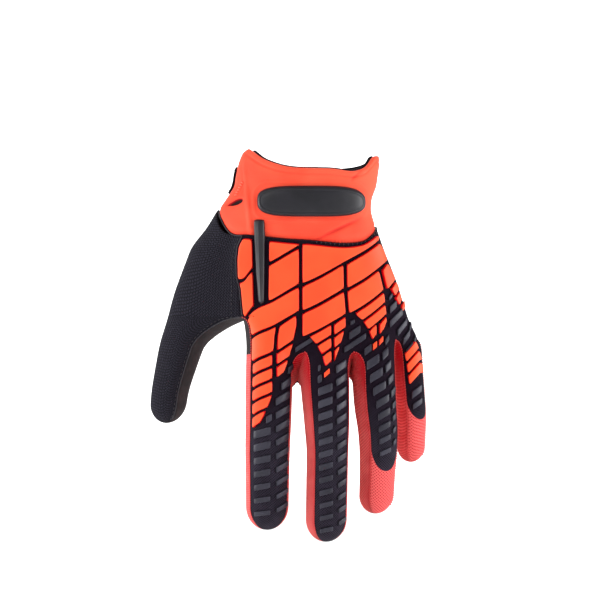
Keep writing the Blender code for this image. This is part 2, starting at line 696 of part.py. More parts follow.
def block(name, bottom, top, finish):
    """Closed block between two grids of the same shape."""
    rows, columns = bottom.shape[:2]
    points = list(top.reshape(-1, 3)) + list(bottom.reshape(-1, 3))
    total = rows * columns

    def at(r, c):
        return r * columns + c

    faces = []
    for r in range(rows - 1):
        for c in range(columns - 1):
            face = [at(r, c), at(r + 1, c), at(r + 1, c + 1), at(r, c + 1)]
            faces.append(face)
            faces.append([k + total for k in face[::-1]])
    edge = ([at(0, c) for c in range(columns - 1)] + [at(r, columns - 1) for r in range(rows - 1)]
            + [at(rows - 1, c) for c in range(columns - 1, 0, -1)]
            + [at(r, 0) for r in range(rows - 1, 0, -1)])
    for k, first in enumerate(edge):
        second = edge[(k + 1) % len(edge)]
        faces.append([first, second, second + total, first + total])
    return add_object(name, points, faces, finish)


def raised_cell(name, left, right, top, bottom, shape, low, high, finish):
    """Tile or block that fills a cell of the pattern."""
    places = cell(left, right, top, bottom, shape, 0)
    smaller = cell(left, right, top, bottom, shape, TILE_DRAFT)
    return slab(name, places, smaller, low, high, finish)


def make_tiles(finish):
    """One node for each orange tile."""
    for name, left, right, above, below in TILES:
        wide = below <= 4 and name.startswith(("wrist", "hand"))
        half = (TILE_CHANNEL if wide else FINGER_CHANNEL) / 2
        shape = (8, 5) if wide else (4, 3)
        first = panel_edge(SEAM_MARGIN) if left == "left_seam" else side_line(left, half)
        raised_cell("tile_" + name, first, side_line(right, -half),
                    channel_line(above, 2 * half if above == 0 else half),
                    channel_line(below, -half), shape, SEAT_GAP, SEAT_GAP + TILE_HEIGHT, finish)


def make_blocks(panel, finish):
    """Rows of raised dark blocks, rooted in the back panel as one solid with it.

    Both meshes are closed, and EXACT loses the thin panel, so the union is MANIFOLD."""
    half = BLOCK_CHANNEL / 2
    parts = []
    for left, right, first, last in BLOCKS:
        for number in np.arange(first, last):
            parts.append(raised_cell("block", side_line(left, half), side_line(right, -half),
                                     channel_line(number, half), channel_line(number + 1, -half),
                                     (3, 2), -BLOCK_SINK, BLOCK_HEIGHT, finish))
    work = bmesh.new()
    for thing in parts:
        work.from_mesh(thing.data)
        bpy.data.objects.remove(thing, do_unlink=True)
    mesh = bpy.data.meshes.new("block_rows")
    work.to_mesh(mesh)
    work.free()
    mesh.materials.append(finish)
    rows = bpy.data.objects.new("block_rows", mesh)
    bpy.context.scene.collection.objects.link(rows)
    rows.hide_render = True
    rows.display_type = "WIRE"
    union = panel.modifiers.new("blocks", "BOOLEAN")
    union.operation = "UNION"
    union.solver = "MANIFOLD"
    union.object = rows


def make_plate(finish):
    """Smooth rounded bar moulded on the cuff."""
    left, right = np.array(PLATE_ENDS) / 100 * HAND_WIDTH
    upper, lower = np.array(PLATE_EDGES) / 100 * HAND_LENGTH

    def half_height(x):
        along = (2 * x - left - right) / (right - left)
        return (lower - upper) / 2 * (1 - PLATE_ROUNDING * np.abs(along) ** 6)

    def top(x):
        return (upper + lower) / 2 - half_height(x)

    def bottom(x):
        return (upper + lower) / 2 + half_height(x)

    raised_cell("wrist_plate", lambda drop: left + 0 * drop, lambda drop: right + 0 * drop,
                top, bottom, (13, 4), TRIM_LIFT, PLATE_HEIGHT, finish)


def make_tongue(finish):
    """Tapered bar from the plate over the cuff seam into the tile field."""
    upper, lower = np.array(TONGUE_EDGES) / 100 * HAND_LENGTH

    def edge(side):
        def place(drop):
            centre, half = np.moveaxis(smooth(TONGUE, drop / HAND_LENGTH * 100), -1, 0)
            return (centre + side * half) / 100 * HAND_WIDTH
        return place

    raised_cell("tongue", edge(-1), edge(1), lambda x: upper + 0 * x, lambda x: lower + 0 * x,
                (3, 12), SEAT_GAP, SEAT_GAP + TONGUE_HEIGHT, finish)


def make_tab(finish):
    """Closure tab round the palm side of the cuff."""
    rows = np.array([0, 0.5, 1.0])
    angles = np.linspace(*TAB_ANGLES, 17)[None]
    upper, lower = np.array(TAB_EDGES) / 100 * HAND_LENGTH

    def level(drop):
        return lambda angle: drop + 0 * angle

    inner = loop_grid(level(upper), level(lower), rows, TRIM_LIFT, angles)
    outer = loop_grid(level(upper), level(lower), rows, TRIM_LIFT + TAB_WALL, angles)
    block("closure_tab", inner, outer, finish)


def loop_grid(low, high, rows, lift, angles):
    """Grid round the hand's section between two edges, lifted off its surface."""
    drop = mix(low(angles), high(angles), rows[:, None])
    points = hand(angles, drop)
    ahead = hand(angles + 1, drop) - hand(angles - 1, drop)
    down = hand(angles, drop + 0.0005) - hand(angles, drop - 0.0005)
    normal = np.cross(down, ahead)
    normal /= np.linalg.norm(normal, axis=-1, keepdims=True)
    return points + normal * lift


def make_lining(cuff, skin, finish):
    """Thin band inside the cuff; its top edge stands a little above the cuff's."""
    grid = cuff[:LINING_ROWS].copy()
    normals = np.array([[skin.normal(point) for point in row] for row in grid])
    rise = grid[0] - grid[1]
    grid[0] += rise / np.linalg.norm(rise, axis=-1, keepdims=True) * LINING_PEEK
    near = CUFF_WALL + 1.5 * PIECE_GAP
    block_ring("cuff_lining", grid - normals * near, grid - normals * (near + LINING_WALL), finish)


def block_ring(name, outer, inner, finish):
    """Closed band between an outer and an inner grid whose columns go all the way round."""
    rows, columns = outer.shape[0], outer.shape[1] - 1
    points = list(outer[:, :-1].reshape(-1, 3)) + list(inner[:, :-1].reshape(-1, 3))
    total = rows * columns
    faces = []
    for c in range(columns):
        d = (c + 1) % columns
        for r in range(rows - 1):
            face = [r * columns + c, (r + 1) * columns + c, (r + 1) * columns + d, r * columns + d]
            faces.append(face)
            faces.append([k + total for k in face[::-1]])
        last = (rows - 1) * columns
        faces.append([c, d, d + total, c + total])
        faces.append([last + d, last + c, last + c + total, last + d + total])
    return add_object(name, points, faces, finish)


def make_body(finishes):
    """Panels, side strips, thumb and cuff, all from one welded outer surface."""
    back = {ray: (hand_patch(ray, STRIP_COLUMNS, False), finger_patch(ray, STRIP_COLUMNS, False))
            for ray in RAYS}
    palm = {ray: (hand_patch(ray, PALM_COLUMNS, True), finger_patch(ray, PALM_COLUMNS, True))
            for ray in RAYS}
    thumb_back = (hand_patch("thumb", THUMB_COLUMNS, False),
                  finger_patch("thumb", THUMB_COLUMNS, False))
    thumb_palm = (hand_patch("thumb", THUMB_PALM_COLUMNS, True),
                  finger_patch("thumb", THUMB_PALM_COLUMNS, True))
    web = strip("thumb", "index")
    between = {"fourchette_index_middle": strip("index", "middle"),
               "fourchette_middle_ring": strip("middle", "ring"),
               "fourchette_ring_little": strip("ring", "little")}
    ulnar = side_half("little", True)
    rings = {}
    sides = {"thumb": (web[0], None), "index": (between["fourchette_index_middle"][0], web[-1])}
    sides["middle"] = (between["fourchette_middle_ring"][0], between["fourchette_index_middle"][-1])
    sides["ring"] = (between["fourchette_ring_little"][0], between["fourchette_middle_ring"][-1])
    sides["little"] = (ulnar[-1], between["fourchette_ring_little"][-1])
    for ray, (right, left) in sides.items():
        strip_row = (thumb_back if ray == "thumb" else back[ray])[1][-1]
        palm_row = (thumb_palm if ray == "thumb" else palm[ray])[1][-1]
        ring = list(strip_row) + list(right[1:-1]) + list(palm_row[::-1])
        ring += [] if left is None else list(left[1:-1][::-1])
        middle = sum(ring) / len(ring)
        ring = ring[:-1] if ray == "thumb" else ring
        pole = np.array([middle[0], middle[1], -FINGERS[ray][0] / 100 * HAND_LENGTH])
        rings[ray] = (ring, pole)
    loop = [thumb_back[0][0]] + [back[ray][0][0] for ray in RAYS]
    loop += [palm[ray][0][0][::-1] for ray in RAYS[::-1]] + [thumb_palm[0][0][::-1]]
    bottom = np.concatenate([row[:-1] for row in loop] + [loop[-1][-1:]])
    cuff = cuff_grid(bottom)
    turn = len(web) // 2 + 6
    parts = (
        ("back_panel", [(g, False) for ray in RAYS for g in back[ray]], [], PANEL_WALL, "mesh"),
        ("palm_panel", [(g, True) for ray in RAYS for g in palm[ray]],
         [rings[ray] for ray in RAYS], PANEL_WALL, "leather"),
        ("thumb_back", [(g, False) for g in thumb_back], [], PANEL_WALL, "knit"),
        ("thumb_palm", [(g, True) for g in thumb_palm], [rings["thumb"]], PANEL_WALL, "leather"),
        ("thumb_web", [(web[:turn + 1], True)], [], PANEL_WALL, "leather"),
        ("side_index", [(web[turn:], True)], [], PANEL_WALL, "coral"),
        ("side_little", [(ulnar, False)], [], PANEL_WALL, "coral"),
        ("cuff", [(cuff, False)], [], CUFF_WALL, "neoprene"),
    ) + tuple((name, [(grid, True)], [], PANEL_WALL, "coral") for name, grid in between.items())
    skin = Skin()
    for name, patches, closings, wall, finish in parts:
        points, faces = weld(patches, closings)
        skin.add(points, faces)
    nodes = {name: shell(name, skin, patches, wall, finishes[finish], closings)
             for name, patches, closings, wall, finish in parts}
    make_lining(cuff, skin, finishes["lining"])
    cut_slit(nodes["cuff"])
    return nodes


def cut_slit(cuff):
    """Small slit through the cuff at its left, cut by a round bar."""
    angle, drop, half_length, half_height = SLIT
    drop = drop / 100 * HAND_LENGTH
    place = hand(np.array(angle), np.array(drop))
    ahead = hand(np.array(angle + 2), np.array(drop)) - hand(np.array(angle - 2), np.array(drop))
    ahead /= np.linalg.norm(ahead)
    up = np.array([0, 0, 1.0])
    out = np.cross(ahead, up)
    turn = np.radians(np.arange(0, 360, 30))[:, None]
    ring = (np.cos(turn) * ahead * half_length / 100 * HAND_WIDTH
            + np.sin(turn) * up * half_height / 100 * HAND_LENGTH)
    points = list(place + ring + out * 3 * CUFF_WALL) + list(place + ring - out * 2.2 * CUFF_WALL)
    count = len(ring)
    faces = [list(range(count)), [k + count for k in range(count)][::-1]]
    faces += [[(k + 1) % count, k, k + count, (k + 1) % count + count] for k in range(count)]
    cutter = add_object("slit_cutter", points, faces, cuff.data.materials[0])
    cutter.hide_render = True
    cutter.display_type = "WIRE"
    cut = cuff.modifiers.new("slit", "BOOLEAN")
    cut.operation = "DIFFERENCE"
    cut.solver = "EXACT"
    cut.object = cutter


def cuff_grid(bottom):
    """Cuff surface: columns go up from the hand's top row to the cuff's top edge."""
    middle, half = oval(-bottom[:, 2])[:2]
    across = np.clip((bottom[:, 0] - middle) / half, -1, 1)
    angle = np.degrees(np.arcsin(signed_power(across, 1 / HAND_CORNER)))
    across_back = THUMB_COLUMNS + 4 * STRIP_COLUMNS
    behind = np.arange(len(bottom)) > across_back
    angle = np.where(behind, 180 - angle, angle)
    angle[0] = RADIAL_SEAM
    if behind.any():
        angle[-1] = RADIAL_SEAM + 360
    rows = CUFF_ROWS[::-1, None]
    drop = mix(-bottom[None, :, 2], top_drop(angle)[None], rows)
    grid = hand(angle[None], drop)
    shift = bottom - grid[-1]
    return grid + shift[None] * (1 - rows)[..., None] ** 2


def main():
    for thing in list(bpy.data.objects):
        bpy.data.objects.remove(thing, do_unlink=True)
    finishes = {
        "mesh": material("base_mesh", (0.022, 0.018, 0.026), 0.8),
        "leather": material("palm_leather", (0.042, 0.036, 0.036), 0.6),
        "knit": material("knit", (0.024, 0.022, 0.03), 0.85),
        "coral": material("coral_mesh", (0.8, 0.11, 0.09), 0.7),
        "neoprene": material("neoprene", (0.95, 0.1, 0.04), 0.6),
        "rubber": material("orange_rubber", (0.95, 0.09, 0.03), 0.45),
        "black": material("black_rubber", (0.045, 0.045, 0.06), 0.5),
        "lining": material("lining", (0.015, 0.013, 0.018), 0.85),
    }
    nodes = make_body(finishes)
    make_blocks(nodes["back_panel"], finishes["black"])
    make_plate(finishes["black"])
    make_tongue(finishes["black"])
    make_tab(finishes["lining"])
    make_tiles(finishes["rubber"])


main()
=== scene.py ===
"""Work glove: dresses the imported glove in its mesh, knit, suede, neoprene and rubber.

Every surface is a function of two parameters. The hand is a rounded oval section at a
drop below the wrist, a finger is a tapered tube, and a smooth step leads from one to the
other. Sizes are shares of the hand's length, width and depth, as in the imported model.
"""
import bpy
import mathutils
import numpy as np
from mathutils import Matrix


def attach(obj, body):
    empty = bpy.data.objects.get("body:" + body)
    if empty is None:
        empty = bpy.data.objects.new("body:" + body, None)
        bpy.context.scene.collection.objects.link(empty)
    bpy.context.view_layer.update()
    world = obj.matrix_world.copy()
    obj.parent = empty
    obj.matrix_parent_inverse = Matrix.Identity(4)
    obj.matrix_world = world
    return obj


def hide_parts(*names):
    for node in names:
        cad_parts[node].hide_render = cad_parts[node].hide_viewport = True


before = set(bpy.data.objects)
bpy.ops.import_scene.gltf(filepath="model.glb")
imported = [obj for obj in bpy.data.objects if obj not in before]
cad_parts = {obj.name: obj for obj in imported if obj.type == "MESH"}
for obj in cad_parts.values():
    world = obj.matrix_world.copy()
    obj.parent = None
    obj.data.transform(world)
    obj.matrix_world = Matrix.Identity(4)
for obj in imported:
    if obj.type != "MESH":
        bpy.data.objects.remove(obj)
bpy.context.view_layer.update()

bl_info = {
    "name": "Tiled Work Glove",
    "version": (1, 0, 0),
    "blender": (4, 5, 0),
    "location": "3D View > Sidebar > Glove",
    "description": "Makes the pieces of a work glove with raised rubber tiles",
    "category": "Object",
}

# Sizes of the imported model, in metres
HAND_LENGTH = 0.198          # wrist centre to the middle fingertip
HAND_WIDTH = 0.099           # over the knuckles
HAND_DEPTH = 0.036           # back to palm at the knuckles
PANEL_WALL = 0.0013          # mesh and suede panels
CUFF_WALL = 0.0028           # neoprene cuff
LINING_WALL = 0.001          # band inside the cuff
LINING_PEEK = 0.0006         # its top edge stands above the cuff's by this
PIECE_GAP = 0.0003           # between cuff and lining
SEAT_GAP = 0.00055           # between a tile or the tongue and the faceted surface under it
TILE_HEIGHT = 0.0013         # raised orange tiles
BAR_HEIGHT = 0.0012          # raised dark bars
TILE_CHANNEL = 0.0022        # clear way between two tiles of the wide field
FINGER_CHANNEL = 0.0019      # clear way between two tiles on a finger
SEAM_MARGIN = 0.0017         # between the panel's left seam and the tiles beside it
PLATE_HEIGHT = 0.0036        # moulded bar on the cuff
TONGUE_HEIGHT = 0.0018       # tapered bar below it
TAB_WALL = 0.0018            # closure tab on the palm side
CROTCH_BLEND = 0.013         # the hand turns into a finger over twice this
TIP_ROUNDNESS = 1.15         # length of a fingertip's cap, in half widths
FINGER_DEPTH = 0.92          # depth of a finger tube over its width

# Shares below are percent: drops of HAND_LENGTH, x of HAND_WIDTH, depths of HAND_DEPTH
# Hand sections: drop, left x, right x, back depth, palm depth, arch at the ulnar side
HAND = (
    (-13.0, -31.0, 38.5, 62, 60, 0),
    (-9.3, -36.2, 41.8, 62, 60, 0),
    (-4.2, -38.9, 41.3, 62, 60, 0),
    (-0.8, -40.2, 40.2, 61, 60, 0),
    (2.5, -44.4, 37.9, 60, 60, 0),
    (5.2, -48.0, 37.4, 59, 61, 0),
    (12.7, -50.0, 41.8, 54, 61, 3),
    (17.8, -50.0, 45.5, 49, 61, 7),
    (24.6, -47.0, 51.0, 46, 60, 12),
    (31.4, -43.5, 55.6, 44, 57, 20),
    (36.4, -41.0, 58.8, 43, 52, 28),
    (41.6, -36.5, 62.8, 42, 45, 36),
    (46.7, -33.6, 66.2, 40, 31, 41),
    (56.0, -33.3, 68.0, 36, 18, 43),
)
HAND_CORNER = 0.8            # power of the oval: 1 is an ellipse, less is squarer

# Finger tubes: drop, centre x, half width
TUBES = {
    "thumb": ((3.0, -36.0, 19.0), (9.9, -41.0, 19.0), (19.8, -50.0, 17.5), (29.7, -59.0, 15.7),
              (36.5, -64.2, 14.2), (43.3, -69.4, 13.1), (50.1, -73.3, 11.9), (56.9, -76.6, 10.8),
              (66.3, -78.8, 10.0)),
    "index": ((43.9, -19.6, 13.6), (55.2, -20.3, 13.3), (65.4, -20.7, 13.0), (73.9, -21.2, 12.7),
              (82.4, -21.3, 12.4), (96.6, -21.6, 11.9)),
    "middle": ((43.9, 10.6, 13.9), (55.2, 11.3, 13.8), (65.4, 12.3, 12.9), (73.9, 12.7, 11.9),
               (82.4, 12.5, 11.8), (100.0, 11.9, 11.6)),
    "ring": ((43.9, 38.4, 12.0), (62.1, 40.0, 11.9), (68.2, 41.3, 11.3), (74.0, 41.6, 10.7),
             (80.8, 41.1, 10.0), (92.1, 40.2, 9.6)),
    "little": ((40.0, 57.4, 9.0), (50.0, 58.5, 8.7), (57.1, 59.7, 8.6), (64.2, 60.8, 8.5),
               (71.2, 60.8, 8.1), (77.7, 60.8, 7.6)),
}
# Fingers: tip drop, depth of the root (y), forward curl towards the palm at the tip
FINGERS = {
    "thumb": (66.2, 26, 6),
    "index": (96.6, 0, 33),
    "middle": (100.0, -3, 36),
    "ring": (92.1, 7, 36),
    "little": (77.7, 44, 28),
}
RAYS = ("index", "middle", "ring", "little")
# Seams round a tube, in degrees from the back: strip left, strip right, palm left, palm right
TUBE_SEAMS = {
    "thumb": (-110, 27, -110, -223),
    "index": (-51, 66, -135, -232),
    "middle": (-36, 70, -130, -228),
    "ring": (-24, 80, -125, -214),
    "little": (-16, 92, -143, -222),
}
# Crotches: drop on the back, drop on the palm, length of the rounded corner below it
CROTCHES = {
    "thumb_index": (35.9, 37.0, 9.0),
    "index_middle": (45.8, 54.5, 5.0),
    "middle_ring": (45.8, 53.0, 5.0),
    "ring_little": (42.4, 45.0, 5.0),
    "little_side": (42.4, 42.4, 5.0),
}
PALM_THUMB_SEAM = -34.6      # x of the seam between palm and thumb
GAPS = tuple(CROTCHES)
# Ray borders inside the hand: drop, then x of each border, on the back and on the palm
BACK_BORDERS = (
    (12.7, -8.0, 11.0, 28.0),
    (45.8, 0.0, 27.7, 52.2),
    (55.0, 0.0, 27.7, 52.2),
)
PALM_BORDERS = (
    (12.7, -11.0, 9.0, 25.0),
    (45.8, -4.4, 25.0, 48.5),
    (55.0, -4.4, 25.0, 48.5),
)
ULNAR_SEAM = 95              # degrees round the hand section
RADIAL_SEAM = -95
# Seam between cuff and hand: degrees round the section, drop
CUFF_SEAM = ((-95, 5.5), (-70, 8.4), (-52, 12.4), (-30, 13.1), (0, 14.4), (30, 15.4), (48, 14.7),
             (65, 12.8), (90, 10.6), (135, 10.1), (180, 9.1), (225, 7.1), (265, 5.5))
# Top edge of the cuff: degrees round the section, drop
CUFF_TOP = ((-95, -9.2), (-70, -11.6), (-58, -10.9), (-30, -7.8), (-12, -6.2), (15, -5.6),
            (38, -5.0), (52, -6.2), (66, -9.0), (84, -9.6), (105, -8.6), (135, -6.6), (180, -6.0),
            (225, -7.0), (265, -9.2))

# Moulded bar on the cuff: ends and edges
PLATE_ENDS = (-26.6, 33.0)
PLATE_EDGES = (-0.8, 7.8)
# Its profile from the rim inward: inset in metres, share of the height
PLATE_PROFILE = (
    (0, 0), (0.0001, 0.3), (0.0003, 0.5), (0.0007, 0.68), (0.0013, 0.83), (0.0019, 0.92),
    (0.0022, 0.9), (0.0025, 0.86), (0.0028, 0.9), (0.0033, 0.94), (0.0045, 0.97), (0.006, 0.99),
    (0.0075, 1.0))
# Tapered bar below it: its ends, then centre x and half width down its length
TONGUE_EDGES = (8.6, 32.2)
TONGUE = ((8.6, -25.6, 2.9), (13.3, -25.3, 3.0), (24.0, -24.9, 2.4), (31.5, -24.4, 1.7),
          (32.2, -24.3, 0.9))
# Closure tab round the palm side: degrees round the section, and its edges
TAB_ANGLES = (112, 268)
TAB_EDGES = (-6.5, 1.5)
TAB_TRIM = 9                 # degrees by which the drawn tab ends short of its solid
TAB_LIFT = 0.0011            # between the hand's section and the tab

# Lines of the tile pattern: x of a line at a drop
LINES = {
    "left_seam": ((12.4, -34.5), (16.1, -37.9), (19.5, -38.7), (24.6, -38.5), (28.0, -36.8),
                  (34.8, -35.6), (38.2, -33.9), (43.3, -32.8), (46.7, -31.1), (70.0, -31.1)),
    "tongue_left": ((12.4, -28.6), (34.0, -27.7)),
    "tongue_right": ((12.4, -20.9), (34.0, -21.5)),
    "hand_mid": ((12.4, -2.5), (42.4, -2.5)),
    "knuckle": ((14.1, 22.3), (20.4, 22.3), (28.3, 22.6), (36.8, 24.0)),
    "ulnar": ((14.1, 40.2), (21.5, 41.3), (28.3, 44.7), (36.8, 46.7), (44.0, 47.8)),
    "index_taper": ((57.5, -17.6), (60.0, -19.4), (63.8, -22.4), (68.0, -26.6)),
    "index_mid": ((37.3, -14.7), (41.3, -16.4), (45.2, -17.0), (70.7, -17.0)),
    "index_fan": ((38.2, -4.0), (43.8, -6.2), (49.8, -10.7), (53.7, -13.3), (70.7, -13.6)),
    "middle_fan_left": ((38.2, -0.6), (41.3, 1.7), (44.0, 6.2), (46.9, 9.0), (50.1, 10.7),
                        (52.9, 12.4), (59.4, 13.0)),
    "middle_fan_right": ((33.9, 23.5), (38.5, 23.5), (43.8, 20.4), (47.8, 17.5), (59.4, 17.0)),
    "middle_mid": ((14.1, 15.4), (59.4, 15.4)),
    "ring_fan_left": ((32.5, 25.5), (35.4, 28.3), (36.9, 31.7), (39.7, 35.1), (42.7, 37.3),
                      (45.5, 39.6), (50.9, 40.7)),
    "ring_fan_right": ((33.9, 46.7), (37.0, 46.4), (40.7, 44.1), (43.8, 42.4), (50.9, 41.9)),
    "ring_mid": ((14.1, 40.9), (59.4, 40.9)),
    "little_fan": ((25.5, 46.1), (27.7, 46.9), (29.7, 48.8), (32.1, 51.0), (33.9, 53.4),
                   (39.6, 57.2), (48.1, 58.8), (70.0, 61.0)),
    "little_in": ((42.0, 54.6), (50.0, 57.2), (62.0, 60.2)),
    "outline": ((14.4, 40.4), (17.8, 43.7), (21.2, 46.0), (24.6, 49.4), (28.0, 52.2),
                (31.4, 53.9), (34.8, 56.2), (38.2, 59.0), (41.6, 61.3), (45.0, 64.0),
                (48.4, 65.7), (53.5, 66.8), (59.4, 67.4), (70.0, 67.4)),
}
# Sweep that all slanted channels share: x, drop from the channel's own offset
SWEEP = ((-37.9, 2.8), (-34.5, 2.4), (-29.4, 0.0), (-18.1, -2.7), (-2.8, -6.8), (6.2, -8.8),
         (22.6, -13.2), (35.1, -16.7), (45.6, -20.6), (53.7, -24.3), (65.0, -30.0))
# Offsets of the slanted channels down the hand, 0 being the cuff seam
CHANNELS = (None, 23.0, 33.8, 41.4, 48.8, 52.5, 56.2, 60.0, 63.8, 67.5)
# Orange tiles: name, left line, right line, channel above, channel below
TILES = (
    ("wrist_1", "left_seam", "tongue_left", 0, 1),
    ("wrist_2", "tongue_right", "hand_mid", 0, 1),
    ("wrist_3", "hand_mid", "outline", 0, 2),
    ("hand_1", "left_seam", "tongue_left", 1, 2),
    ("hand_2", "tongue_right", "hand_mid", 1, 2),
    ("hand_3", "left_seam", "hand_mid", 2, 3),
    ("hand_4", "hand_mid", "knuckle", 2, 3),
    ("hand_5", "knuckle", "outline", 2, 3),
    ("hand_6", "left_seam", "index_mid", 3, 4),
    ("hand_7", "index_mid", "index_fan", 3, 4),
    ("hand_8", "hand_mid", "knuckle", 3, 4),
    ("hand_9", "knuckle", "ulnar", 3, 4),
    ("hand_10", "ulnar", "outline", 3, 4),
    ("index_1", "left_seam", "index_mid", 4, 5),
    ("index_2", "left_seam", "index_mid", 5, 6),
    ("index_3", "left_seam", "index_mid", 6, 7),
    ("index_4", "left_seam", "index_mid", 7, 8),
    ("index_5", "left_seam", "index_mid", 8, 9),
    ("index_6", "index_mid", "index_fan", 4, 5),
    ("index_7", "index_mid", "index_fan", 5, 6),
    ("middle_1", "middle_fan_left", "middle_mid", 4, 5),
    ("middle_2", "middle_fan_left", "middle_mid", 5, 6),
    ("middle_3", "middle_fan_left", "middle_mid", 6, 7),
    ("middle_4", "middle_mid", "middle_fan_right", 4, 5),
    ("middle_5", "middle_mid", "middle_fan_right", 5, 6),
    ("middle_6", "middle_mid", "middle_fan_right", 6, 7),
    ("ring_1", "ring_fan_left", "ulnar", 4, 5),
    ("ring_2", "ring_fan_left", "ulnar", 5, 6),
    ("ring_3", "ring_fan_left", "ring_mid", 6, 7),
    ("ring_4", "ring_mid", "ring_fan_right", 6, 7),
    ("little_1", "little_fan", "outline", 4, 5),
    ("little_2", "little_fan", "outline", 5, 6),
    ("little_3", "little_in", "outline", 10, 11),
    ("little_4", "little_in", "outline", 11, 12),
    ("little_5", "little_in", "outline", 12, 13),
)
# Fine grids
ACROSS = 22                  # columns of a finger's back or front
DOWN_HAND = 56               # rows from the cuff seam to a finger's root
SIDE_COLUMNS = 12
CAP_START = 0.8              # the tube runs to this share of the rows, then the cap begins
CAP_TURN = np.radians(77)    # how far the cap turns before its closing disc
HAND_ROWS = np.linspace(0, 1, DOWN_HAND)
FINGER_ROWS = np.concatenate([np.linspace(0, 0.06, 16)[:-1], np.linspace(0.06, CAP_START, 80)[:-1],
                              np.linspace(CAP_START, 1, 24)])


def smooth(table, at):
    """Read a table's columns at some places: cubic pieces through the rows."""
    rows = np.asarray(table, float)
    places, values = rows[:, 0], rows[:, 1:]
    slopes = np.gradient(values, places, axis=0)
    at = np.clip(at, places[0], places[-1])
    k = np.clip(np.searchsorted(places, at, side="right") - 1, 0, len(places) - 2)
    span = places[k + 1] - places[k]
    t = ((at - places[k]) / span)[..., None]
    span = span[..., None]
    return ((2 * t**3 - 3 * t**2 + 1) * values[k] + (t**3 - 2 * t**2 + t) * span * slopes[k]
            + (3 * t**2 - 2 * t**3) * values[k + 1] + (t**3 - t**2) * span * slopes[k + 1])


def line(table, at):
    """Read a two-column table with straight pieces."""
    rows = np.asarray(table, float)
    return np.interp(at, rows[:, 0], rows[:, 1])


def step(t):
    """Smooth step from 0 to 1."""
    t = np.clip(t, 0, 1)
    return t * t * (3 - 2 * t)


def mix(a, b, t):
    """Straight blend from a to b."""
    return a + (b - a) * t


def signed_power(value, power):
    """Power of a number's size, with the number's sign."""
    return np.sign(value) * np.abs(value) ** power


def oval(drop):
    """Middle, half width, back depth, palm depth and arch of the hand's section."""
    left, right, back, palm, arch = np.moveaxis(smooth(HAND, drop / HAND_LENGTH * 100), -1, 0) / 100
    middle = (left + right) / 2 * HAND_WIDTH
    half = (right - left) / 2 * HAND_WIDTH
    return middle, half, back * HAND_DEPTH, palm * HAND_DEPTH, arch * HAND_DEPTH


def hand(angle, drop):
    """Point of the hand at an angle (degrees from the back, to the ulnar side) and a drop."""
    angle, drop = np.broadcast_arrays(np.radians(angle), np.asarray(drop, float))
    middle, half, back, palm, arch = oval(drop)
    across = signed_power(np.sin(angle), HAND_CORNER)
    depth = np.where(np.cos(angle) > 0, back, palm)
    y = -depth * signed_power(np.cos(angle), HAND_CORNER) + arch * (1 + across) / 2
    return np.stack([middle + half * across, y, -drop], -1)


def hand_angle(x, drop, palm=False):
    """Angle at which the hand's section has this x, on the back or on the palm."""
    middle, half = oval(drop)[:2]
    across = np.clip((x - middle) / half, -1, 1)
    angle = np.degrees(np.arcsin(signed_power(across, 1 / HAND_CORNER)))
    return -180 - angle if palm else angle


def tube(finger, angle, drop, scale):
    """Point of a finger tube; scale is under 1 on the fingertip's cap."""
    angle, drop, scale = np.broadcast_arrays(np.radians(angle), drop, scale)
    centre, half = np.moveaxis(smooth(TUBES[finger], drop / HAND_LENGTH * 100), -1, 0) / 100
    tip, root, curl = FINGERS[finger]
    start = TUBES[finger][0][0]
    along = np.clip((drop / HAND_LENGTH * 100 - start) / (tip - start), 0, 1)
    x = centre * HAND_WIDTH + half * HAND_WIDTH * scale * np.sin(angle)
    y = ((root + curl * along**2) / 100 * HAND_DEPTH
         - half * HAND_WIDTH * FINGER_DEPTH * scale * np.cos(angle))
    return np.stack([x, y, -drop], -1)


def cap(finger):
    """Drop where a fingertip's cap starts, and the cap's length."""
    tip = FINGERS[finger][0] / 100 * HAND_LENGTH
    half = smooth(TUBES[finger], np.array(FINGERS[finger][0]))[1] / 100 * HAND_WIDTH
    length = half * TIP_ROUNDNESS
    return tip - length, length


def crotch(gap, palm):
    """Drop of a crotch on the back or the palm."""
    return CROTCHES[gap][1 if palm else 0] / 100 * HAND_LENGTH


def borders(ray, drop, palm):
    """Angles round the hand of a ray's left and right border at a drop."""
    share = drop / HAND_LENGTH * 100
    if ray == "thumb":
        inner = line(LINES["left_seam"], share) if not palm else PALM_THUMB_SEAM
        return (np.full_like(drop, RADIAL_SEAM, dtype=float),
                hand_angle(inner / 100 * HAND_WIDTH, drop, palm))
    place = RAYS.index(ray)
    xs = smooth(PALM_BORDERS if palm else BACK_BORDERS, share) / 100 * HAND_WIDTH
    ulnar = np.full_like(drop, ULNAR_SEAM - 360.0 if palm else ULNAR_SEAM, dtype=float)
    sides = [hand_angle(xs[..., k], drop, palm) for k in range(3)] + [ulnar]
    first = borders("thumb", drop, palm)[1]
    return ([first] + sides)[place], sides[place]


def seam_drop(angle):
    """Drop of the seam between cuff and hand."""
    angle = np.where(angle < -95, angle + 360, angle)
    return smooth(CUFF_SEAM, angle)[..., 0] / 100 * HAND_LENGTH


def top_drop(angle):
    """Drop of the cuff's top edge."""
    angle = np.where(angle < -95, angle + 360, angle)
    return smooth(CUFF_TOP, angle)[..., 0] / 100 * HAND_LENGTH


def gaps_of(ray):
    """The gaps at the left and right of a ray; the thumb has none at its left."""
    if ray == "thumb":
        return None, "thumb_index"
    place = RAYS.index(ray)
    return GAPS[place], GAPS[place + 1]


